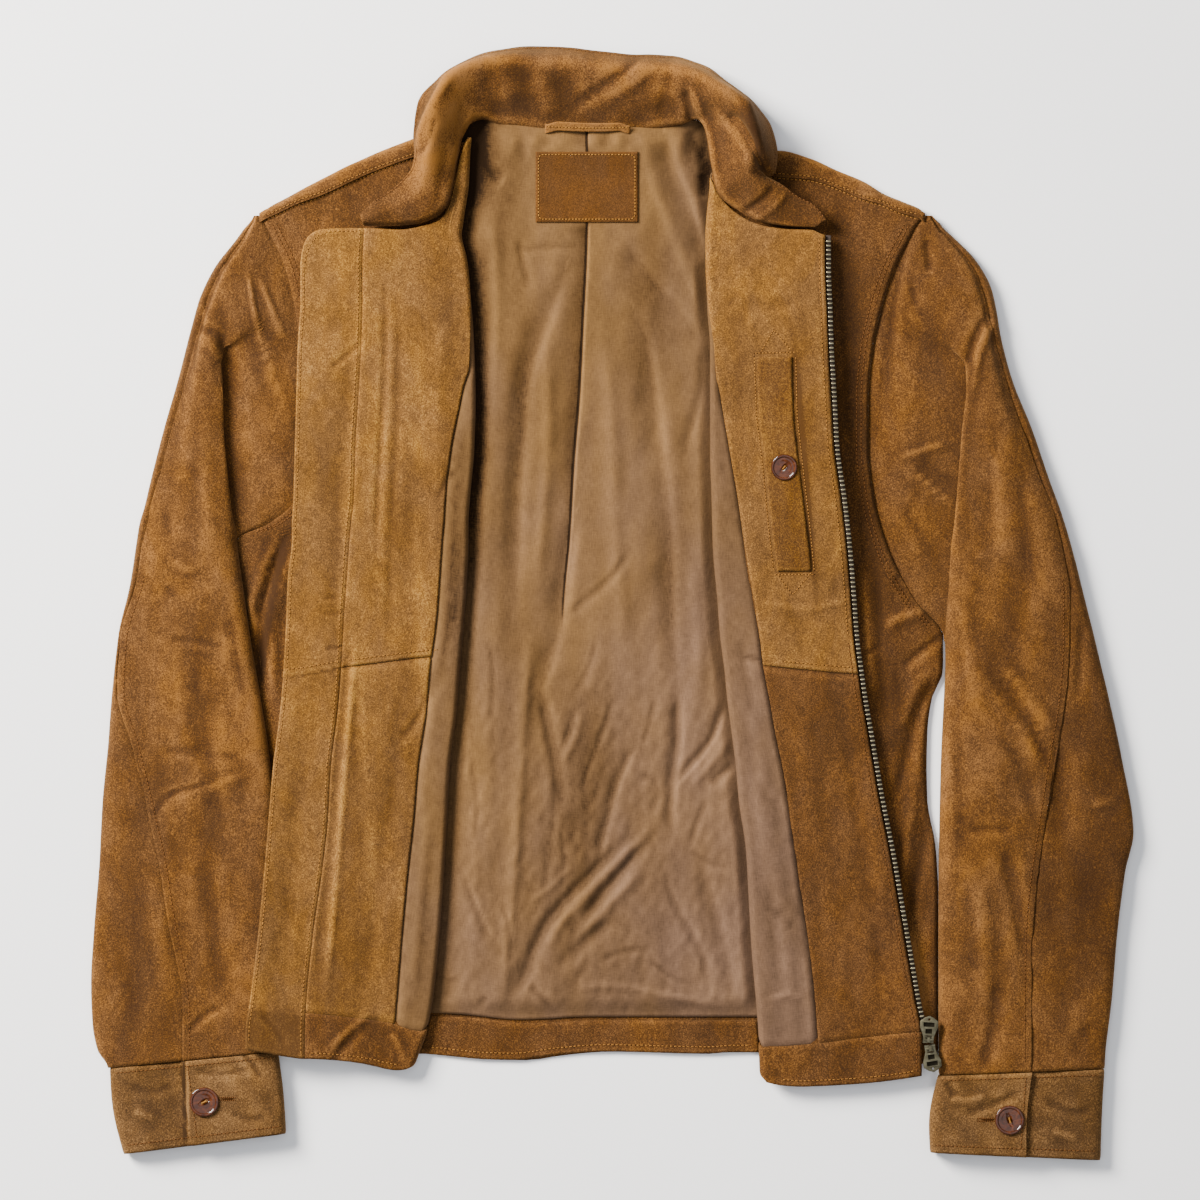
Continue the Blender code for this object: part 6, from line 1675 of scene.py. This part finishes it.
def build_pull(name, centre, turn):
    """Tab that widens from its bar, cut from a bar of metal: eyelet, two plain recesses and rounded edges."""
    low, high = TAB_STATIONS[0][0], TAB_STATIONS[-1][0]
    tab = block((2, high - low, PULL_T), (0, (low + high) / 2, 0))
    tab.name = f"zip_tab_{name}"
    bpy.ops.object.mode_set(mode="EDIT")
    for y, half in TAB_STATIONS[1:-1]:
        bpy.ops.mesh.select_all(action="SELECT")
        bpy.ops.mesh.bisect(plane_co=(0, y * MM, 0), plane_no=(0, 1, 0))
    bpy.ops.mesh.select_mode(type="VERT")
    for y, half in TAB_STATIONS:
        work = bmesh.from_edit_mesh(tab.data)
        for v in work.verts:
            v.select = abs(v.co.y - y * MM) < 0.01 * MM
        work.select_flush_mode()
        bmesh.update_edit_mesh(tab.data)
        bpy.ops.transform.resize(value=(half, 1, 1), center_override=(0, y * MM, 0))
    bpy.ops.object.mode_set(mode="OBJECT")
    for size, place in TAB_CUTS:
        cut_away(tab, block(size, place))
    cut_away(tab, rod(20, 0.8, 4, (0, 14.2, 0)))
    round_edges(tab, 0.22, 2, 30)
    bpy.ops.object.shade_smooth_by_angle(angle=math.radians(30))
    dress(tab, "pull", "pull_hollow")
    for p in tab.data.polygons:
        if p.normal.z > UPRIGHT and p.center.z < (PULL_T / 2 - 0.2) * MM:
            p.material_index = 1
    set_down(tab, (*centre, PULL_Z), (0, 0, turn), f"pull_{name}", f"zip_pull_{name}")


def build_sliders(settings):
    """Finish both sliders and hang their pulls."""
    for name, (centre, turn) in PULLS.items():
        dress(frame["nodes"][f"slider_{name}"], "pull")
        build_pull(name, centre, turn)


# turned face of a button from its edge inwards: share of the radius, rise
BUTTON_STEPS = ((0.06, 0.3), (0.1, 0.1), (0.05, -0.5), (0.05, -0.15), (0.05, 0.12), (0.14, -0.45),
                (0.2, -0.2))


def pick_faces(item, way):
    """In edit mode, select only the faces that look up (1) or down (-1)."""
    for f in bmesh.from_edit_mesh(item.data).faces:
        f.select = f.normal.z * way > UPRIGHT
    bmesh.update_edit_mesh(item.data)


def build_button(name, node, centre, radius, tilt, turn):
    """Turned from a disc: rim, dished face, eye-shaped hollow with two holes, and the thread in them."""
    disc = rod(64, radius, 2.4, (0, 0, 1.3))
    disc.name = name
    bpy.ops.object.mode_set(mode="EDIT")
    bpy.ops.mesh.select_mode(type="FACE")
    pick_faces(disc, 1)
    for width, depth in BUTTON_STEPS:
        bpy.ops.mesh.inset(thickness=radius * width * MM, depth=depth * MM)
    pick_faces(disc, -1)
    bpy.ops.mesh.inset(thickness=radius * 0.16 * MM, depth=0.35 * MM)
    bpy.ops.object.mode_set(mode="OBJECT")
    round_edges(disc, 0.3, 3, 35)
    deselect()
    bpy.ops.mesh.primitive_uv_sphere_add(segments=32, ring_count=16, radius=1, location=(0, 0, 2.05 * MM))
    eye = bpy.context.object
    eye.scale = (radius * 0.5 * MM, radius * 0.2 * MM, 0.85 * MM)
    holes = [rod(16, radius * 0.09, 6, (way * radius * 0.17, 0, 0.5)) for way in (-1, 1)]
    for tool in [eye] + holes:
        cut_away(disc, tool)
    only(disc)
    bpy.ops.object.shade_smooth_by_angle(angle=math.radians(38))
    dress(disc, "button")
    set_down(disc, centre, (0, -tilt, turn), "jacket", node)
    thread = rod(10, radius * 0.055, radius * 0.36, (0, 0, 1.5), math.pi / 2)
    thread.name = name + "_thread"
    apply_all()
    bevel_all(radius * 0.02 * MM)
    dress(thread, "thread_gold")
    set_down(thread, centre, (0, -tilt, turn), "jacket")


def build_buttons(settings):
    """Pocket button, tilted on the lining, and a button on each cuff."""
    x, y, radius = POCKET_BUTTON
    place = (x, y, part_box("pocket_button")[0].z / MM + 1.4)
    build_button("inner_pocket_button", "pocket_button", place, radius, math.radians(9), 0.9)
    z = CUFF_TOP + CUFF_T / 2 + GAP
    for side, (x, y, radius, turn) in CUFF_BUTTONS.items():
        build_button(f"cuff_{side}_button", f"cuff_button_{side}", (x, y, z), radius, 0.0, turn)


# ---------------- stitching
# distances of the rows from their seams and edges
FLY_ROW = 4.0
FLAP_ROWS = {"fly": -2.4, "edge": 2.6}
YOKE_ROW = {"right": 3.0, "left": 3.2}
HEM_ROW = 4.4
BACK_HEM_ROW = 5.0
ARMHOLE_ROWS = (5.6, 8.8)
SHOULDER_ROWS = (-1.6, -4.8)
SLEEVE_ROW = 4.6
LABEL_ROW = 2.0
WELT_ROW = 2.4
# cuffs: shares of their length where rows run across, and of their width beside the overlap
CUFF_ROWS = (0.06, 0.9)
LAP_ROW = 0.035
# buttonholes: pitch of their stitches, and of the one dark stitch, painted shadow, that stands for the slit
HOLE_PITCH = 1.3
SLIT_PITCH = 12.5
# length of a stitch, as a share of the pitch, and the longest step that a stitch spans, in pitches
STITCH_SHARE = 0.86
STITCH_REACH = 1.8
STITCH_HEIGHT = 0.34
RAY_START = 80.0
# stitches round the storm flap's upper corner, and the points at the inner pocket's ends
FLAP_CORNER = ((-213.6, 240), (-212.2, 247), (-209.5, 253), (-205, 258), (-198, 261), (-188, 261.5),
               (-177, 261.5))
POCKET_POINTS = (((104, 177), (113, 193), (125, 178.6)), ((115.8, 22.6), (126.3, 8), (139.6, 24)))


def circle(sides, start=0.0):
    """Cosines and sines of evenly spaced angles."""
    angles = [2 * math.pi * k / sides + start for k in range(sides)]
    return [(math.cos(a), math.sin(a)) for a in angles]


def stitch_template(length, width, height):
    """A thread that rises from one needle hole and sinks into the next."""
    sides = 5
    verts = [(-length / 2, 0, -height * 0.5)]
    for x in (-length * 0.3, length * 0.3):
        verts += [(x, width / 2 * c, height * (0.25 + 0.75 * s)) for c, s in circle(sides, math.pi / 2)]
    verts.append((length / 2, 0, -height * 0.5))
    faces = []
    for k in range(sides):
        m = (k + 1) % sides
        faces.append((0, 1 + m, 1 + k))
        faces.append((1 + k, 1 + m, 1 + sides + m, 1 + sides + k))
        faces.append((1 + sides + k, 1 + sides + m, 2 * sides + 1))
    return verts, faces


def hole_template(length, width):
    """A small closed lens of painted shadow in a needle hole."""
    sides = 6
    verts = [(0, 0, 0.12), (0, 0, -0.4)] + [(length / 2 * c, width / 2 * s, 0.03) for c, s in circle(sides)]
    faces = []
    for k in range(sides):
        m = (k + 1) % sides
        faces.append((0, 2 + k, 2 + m))
        faces.append((1, 2 + m, 2 + k))
    return verts, faces


def surface_of(names):
    """One search tree over the named pieces, in millimetres."""
    verts, faces = [], []
    for name in names:
        mesh = bpy.data.objects[name].data
        base = len(verts)
        verts.extend([tuple(v.co / MM) for v in mesh.vertices])
        faces.extend([tuple(base + i for i in p.vertices) for p in mesh.polygons])
    return BVHTree.FromPolygons(verts, faces)


def sew(name, on, runs, pitch, colour="thread", width=0.62, hole=0.95):
    """Rows of stitches dropped from above onto pieces; runs are paths of x and y in millimetres."""
    tree = surface_of(on)
    threads, holes = [], []
    for run in runs:
        points = spaced(np.asarray(run, float),
                        lambda length: np.linspace(0, length, max(int(length / pitch), 1) + 1))
        hits = [tree.ray_cast((x, y, RAY_START), (0, 0, -1.0)) for x, y in points]
        for first, second in zip(hits[:-1], hits[1:]):
            if first[0] is None or second[0] is None:
                continue
            a, b = np.array(first[0]), np.array(second[0])
            # a stitch that would span a step between two pieces is left out
            if np.linalg.norm(b - a) > pitch * STITCH_REACH:
                continue
            up = np.array(first[1]) + np.array(second[1])
            threads.append(frame_at((a + b) / 2, b - a, up))
            holes.append(frame_at(a, b - a, first[1]))
    if not threads:
        raise RuntimeError(f"{name} found no cloth under its stitches")
    template = stitch_template(pitch * STITCH_SHARE, width, STITCH_HEIGHT)
    joined(name, template, threads, colour)
    joined(name + "_holes", hole_template(hole, hole * 0.8), holes, "hole")


def column(side, measure, top, bottom, count, inset):
    """Path down one measure of a front, moved inward by inset."""
    y = np.linspace(top, bottom, count)
    return np.stack([front_at(side, y, measure) - OUT[side] * inset, y], axis=1)


def across_front(side, table, low, high, shift):
    """Path along a seam that crosses a front, between two places round it."""
    q = np.linspace(low, high, 40)
    return front_point(side, q, smooth(table, q) + shift)[:, :2]


def cuff_spot(side, f, t):
    """Place on a cuff's outline: f from its inner to its outer edge, t from the top down."""
    inner_top, outer_top, outer_low, inner_low = (np.array(p) for p in CUFFS[side][:4])
    return (inner_top * (1 - f) + outer_top * f) * (1 - t) + (inner_low * (1 - f) + outer_low * f) * t


def stitch_fronts(settings):
    """Rows along the fly seams, the storm flap, the yoke seams and the hem."""
    pitch = settings.stitch_pitch
    yoke = YOKE_SEAMS["right"]
    on = ["facing_right_upper", "facing_right_lower", "hem_turn_right", "lining_strip_right"]
    rows = [column("right", FLY, 256, -20, 100, FLY_ROW),
            across_front("right", yoke, 2.42, 2.97, YOKE_ROW["right"])]
    sew("right_facing_rows", on, rows, pitch, "thread")
    sew("right_lower_rows", on, [column("right", FLY, -26, -325, 100, FLY_ROW)], pitch, "thread_dark")
    yoke = YOKE_SEAMS["left"]
    on = ["facing_left_upper", "facing_left_lower", "hem_turn_left", "lining_strip_left", "storm_flap_suede"]
    rows = [column("left", FLY, 262, -312, 200, FLAP_ROWS["fly"]),
            column("left", EDGE, 236, -303, 200, FLAP_ROWS["edge"]), FLAP_CORNER]
    for low, high in ((2.16, 2.95), (3.06, 3.95)):
        rows.append(across_front("left", yoke, low, high, YOKE_ROW["left"]))
    sew("left_facing_rows", on, rows, pitch, "thread")
    rows = []
    for side, start in (("left", 2.1), ("right", 2.08)):
        hem = [(r[0], r[2] + HEM_ROW) for r in ENDS[side] if r[0] >= start]
        rows.append(across_front(side, hem, 2.1, 2.95, 0))
    f = np.linspace(0.03, 0.97, 80)
    y = back_hem(f) + BACK_HEM_ROW
    rows.append(np.stack([between_folds(y, f), y], axis=1))
    sew("hem_rows", ["hem_turn_left", "hem_turn_right", "back_hem_turn"], rows, pitch, "thread")


def stitch_body(settings):
    """Rows along the armholes, shoulders, sleeve seams, cuffs and buttonholes."""
    pitch = settings.stitch_pitch
    on = ["front_left_suede", "front_right_suede", "yoke_left_suede", "yoke_right_suede"]
    rows = [column(side, SIDE, 266, low, 120, inset)
            for side, low in (("right", -16), ("left", 52)) for inset in ARMHOLE_ROWS]
    sew("armhole_rows", on, rows, pitch, "thread_dark")
    rows = []
    for table in (YOKES["right"], YOKES["left"]):
        x = np.linspace(table[0][0] + 3, table[-1][0] - 3, 60)
        rows += [np.stack([x, smooth(table, x, 0, 2) + drop], axis=1) for drop in SHOULDER_ROWS]
    sew("shoulder_rows", on, rows, pitch, "thread")
    rows = []
    for side, low in (("right", -318), ("left", -312)):
        rows.append([place_row(side, y, np.array([[sleeve_row(side, y)["hind"] - SLEEVE_ROW, 0.0]]))[0, :2]
                     for y in np.linspace(20, low, 120)])
    sew("sleeve_rows", ["sleeve_left_upper_suede", "sleeve_right_upper_suede"], rows, pitch, "thread_dark")
    rows = []
    for side in ("right", "left"):
        lap = CUFFS[side][4] - LAP_ROW
        for t in CUFF_ROWS:
            rows.append([cuff_spot(side, f, t) for f in np.linspace(0.03, 0.97, 60)])
        rows.append([cuff_spot(side, lap, t) for t in np.linspace(*CUFF_ROWS, 30)])
    on = ["cuff_left_suede", "cuff_right_suede"]
    sew("cuff_rows", on, rows, pitch, "thread_dark")
    slits = [np.stack([np.linspace(x0, x1, 20), np.full(20, y)], axis=1) for x0, x1, y in BUTTONHOLES]
    rows = [slit + [0, shift] for slit in slits for shift in (-1.0, 1.0)]
    sew("buttonhole_rows", on, rows, HOLE_PITCH, "thread_dark", 0.9)
    # one dark stitch of painted shadow stands for each slit
    sew("buttonhole_slits", on, slits, SLIT_PITCH, "hole", 0.9)


def collar_row(start, stop, count, across):
    """Path along the collar at one place across it."""
    return collar_grid(np.linspace(start, stop, count), [across])[:, 0, :2]


def stitch_neck(settings):
    """Rows round the label, on the loop, along the collar's edge and round the inner pocket."""
    fine = settings.fine_pitch
    x0, x1 = LABEL_X[0] + LABEL_ROW, LABEL_X[1] - LABEL_ROW
    y0, y1 = LABEL_Y[0] + LABEL_ROW, LABEL_Y[1] - LABEL_ROW
    ring = [(x0 + 2, y0), (x1 - 2, y0), (x1, y0 + 2), (x1, y1 - 2), (x1 - 2, y1), (x0 + 2, y1), (x0, y1 - 2),
            (x0, y0 + 2), (x0 + 2, y0)]
    sew("label_rows", ["label_patch_suede"], [ring], fine, "thread_gold", 0.7)
    start, stop = LOOP_ALONG
    rows = [collar_row(start + 0.05, stop - 0.05, 50, across)
            for across in (LOOP_ACROSS[0] + 0.012, LOOP_ACROSS[1] - 0.012)]
    sew("loop_rows", ["hanger_loop_suede"], rows, fine, "thread_gold", 0.6)
    rows = [collar_row(1, 26.5, 300, 0.94)]
    sew("collar_rows", ["collar_upper_suede"], rows, settings.stitch_pitch, "thread_dark")
    near = [(r[1] - WELT_ROW, r[0]) for r in WELT]
    far = [(r[2] + WELT_ROW, r[0]) for r in reversed(WELT)]
    top = [(near[0][0], WELT[0][0] + 2.6), (far[-1][0], WELT[0][0] + 3.2)]
    low = [(far[0][0], WELT[-1][0] - 2.6), (near[-1][0], WELT[-1][0] - 2.8)]
    rows = [near, far, top, low, *POCKET_POINTS]
    sew("pocket_rows", ["facing_right_upper"], rows, fine, "thread")


# ---------------- the studio
def lamp(name, size, power, place, colour):
    """Square area light, in metres, that points at the jacket's middle."""
    data = bpy.data.lights.new(name, "AREA")
    data.shape = "RECTANGLE"
    data.size = size
    data.size_y = size
    data.energy = power
    data.color = linear(colour)[:3]
    item = bpy.data.objects.new(name, data)
    bpy.context.scene.collection.objects.link(item)
    item.location = place
    item.rotation_euler = (-Vector(place)).to_track_quat("-Z", "Y").to_euler()


def build_stage(stage):
    """Pale floor, one large soft light from the upper left, weak fill from all round, and the camera."""
    deselect()
    bpy.ops.mesh.primitive_plane_add(size=stage.floor_size, location=(0, 0, FLOOR_Z))
    floor = bpy.context.object
    floor.name = "floor"
    dress(floor, "paper")
    lamp("window_upper_left", 1.3, stage.key_power, (-2.2, 1.5, 1.75), "FFFAF3")
    lamp("fill_overhead", 3.4, stage.fill_power, (0.2, -0.1, 3.2), "F6F9FF")
    world = bpy.data.worlds.new("studio_air")
    bpy.context.scene.world = world
    world.use_nodes = True
    plug(world.node_tree, world.node_tree.nodes["Background"],
         {"Color": linear("F2F5FA"), "Strength": stage.air_strength})
    data = bpy.data.cameras.new("straight_down")
    data.sensor_width = 36
    data.lens = stage.lens
    data.clip_end = 50
    data.dof.use_dof = False
    camera = bpy.data.objects.new("straight_down", data)
    bpy.context.scene.collection.objects.link(camera)
    camera.location = (*stage.aim, stage.height)
    bpy.context.scene.camera = camera


# ---------------- add-on
class JacketSettings(PropertyGroup):
    """How finely the jacket is cut and sewn"""
    grid_step: FloatProperty(name="Grid step", description="Length of one cell of the cloth, in millimetres",
                             default=2.2, min=1.0)
    stitch_pitch: FloatProperty(name="Stitch pitch", description="Length of a seam stitch, in millimetres",
                                default=2.9, min=1.0)
    fine_pitch: FloatProperty(name="Fine pitch", description="Length of a trim stitch, in millimetres",
                              default=2.3, min=1.0)
    tooth_pitch: FloatProperty(name="Tooth pitch", description="Distance between zip teeth, in millimetres",
                               default=3.1, min=1.0)


class StageSettings(PropertyGroup):
    """Floor, lights and camera"""
    floor_size: FloatProperty(name="Floor", description="Side of the floor", default=8.0, unit="LENGTH")
    key_power: FloatProperty(name="Key", description="Power of the main light, in watts", default=470.0)
    fill_power: FloatProperty(name="Fill", description="Power of the overhead fill, in watts", default=56.0)
    air_strength: FloatProperty(name="Air", description="Strength of the light from all round", default=0.42)
    lens: FloatProperty(name="Lens", description="Focal length in millimetres", default=171.43)
    height: FloatProperty(name="Height", description="Camera height", default=4.0, unit="LENGTH")
    aim: FloatVectorProperty(name="Aim", description="Point that the camera looks down on", size=2,
                             default=(-0.00805, 0.00455), subtype="XYZ")


def run(context, *jobs):
    """Do jobs in turn with the jacket's settings."""
    for job in jobs:
        job(context.scene.jacket)
    return {"FINISHED"}


class JACKET_OT_back(Operator):
    """Cut the back, its lining with the box pleat, and the hem's turn"""
    bl_idname = "jacket.build_back"
    bl_label = "Back and lining"

    def execute(self, context):
        return run(context, build_back, build_lining)


class JACKET_OT_fronts(Operator):
    """Cut both fronts with their facings, lining strips and hems, and the storm flap"""
    bl_idname = "jacket.build_fronts"
    bl_label = "Fronts and facings"

    def execute(self, context):
        return run(context, build_fronts, build_facings, build_flap)


class JACKET_OT_yokes(Operator):
    """Cut the strips over the shoulders"""
    bl_idname = "jacket.build_yokes"
    bl_label = "Shoulder yokes"

    def execute(self, context):
        return run(context, build_yokes)


class JACKET_OT_sleeves(Operator):
    """Cut the two-piece sleeves"""
    bl_idname = "jacket.build_sleeves"
    bl_label = "Sleeves"

    def execute(self, context):
        return run(context, build_sleeves)


class JACKET_OT_cuffs(Operator):
    """Cut the cuffs"""
    bl_idname = "jacket.build_cuffs"
    bl_label = "Cuffs"

    def execute(self, context):
        return run(context, build_cuffs)


class JACKET_OT_collar(Operator):
    """Cut both layers of the collar"""
    bl_idname = "jacket.build_collar"
    bl_label = "Collar"

    def execute(self, context):
        return run(context, build_collar)


class JACKET_OT_trims(Operator):
    """Cut the hanger loop, the label patch and the inner pocket's welt"""
    bl_idname = "jacket.build_trims"
    bl_label = "Loop, label and pocket"

    def execute(self, context):
        return run(context, build_trims)


class JACKET_OT_zip(Operator):
    """Make the zip's tapes, teeth, sliders and pulls"""
    bl_idname = "jacket.build_zip"
    bl_label = "Zip"

    def execute(self, context):
        return run(context, build_zip, build_sliders)


class JACKET_OT_buttons(Operator):
    """Turn the cuff buttons and the inner pocket's button"""
    bl_idname = "jacket.build_buttons"
    bl_label = "Buttons"

    def execute(self, context):
        return run(context, build_buttons)


class JACKET_OT_stitching(Operator):
    """Sew the rows of stitches that show"""
    bl_idname = "jacket.build_stitching"
    bl_label = "Stitching"

    def execute(self, context):
        return run(context, stitch_fronts, stitch_body, stitch_neck)


class JACKET_OT_stage(Operator):
    """Set the floor, the lights and the camera"""
    bl_idname = "jacket.build_stage"
    bl_label = "Studio"

    def execute(self, context):
        build_stage(context.scene.jacket_stage)
        return {"FINISHED"}


STEPS = (
    JACKET_OT_back, JACKET_OT_fronts, JACKET_OT_yokes, JACKET_OT_sleeves, JACKET_OT_cuffs, JACKET_OT_collar,
    JACKET_OT_trims, JACKET_OT_zip, JACKET_OT_buttons, JACKET_OT_stitching, JACKET_OT_stage,
)


class JACKET_PT_panel(Panel):
    """Settings and steps in the sidebar"""
    bl_idname = "JACKET_PT_panel"
    bl_label = "Suede Jacket"
    bl_space_type = "VIEW_3D"
    bl_region_type = "UI"
    bl_category = "Jacket"

    def draw(self, context):
        for name in JacketSettings.__annotations__:
            self.layout.prop(context.scene.jacket, name)
        for name in StageSettings.__annotations__:
            self.layout.prop(context.scene.jacket_stage, name)
        for step in STEPS:
            self.layout.operator(step.bl_idname)


CLASSES = (JacketSettings, StageSettings) + STEPS + (JACKET_PT_panel,)


def register():
    """Add the settings, the operators and the panel to Blender."""
    for made in CLASSES:
        bpy.utils.register_class(made)
    bpy.types.Scene.jacket = PointerProperty(type=JacketSettings)
    bpy.types.Scene.jacket_stage = PointerProperty(type=StageSettings)


def unregister():
    """Take them out again."""
    del bpy.types.Scene.jacket_stage
    del bpy.types.Scene.jacket
    for made in reversed(CLASSES):
        bpy.utils.unregister_class(made)


def main():
    """Build the jacket and the studio."""
    register()
    bpy.ops.jacket.build_back()
    bpy.ops.jacket.build_fronts()
    bpy.ops.jacket.build_yokes()
    bpy.ops.jacket.build_sleeves()
    bpy.ops.jacket.build_cuffs()
    bpy.ops.jacket.build_collar()
    bpy.ops.jacket.build_trims()
    bpy.ops.jacket.build_zip()
    bpy.ops.jacket.build_buttons()
    bpy.ops.jacket.build_stitching()
    bpy.ops.jacket.build_stage()


if __name__ == "__main__":
    main()
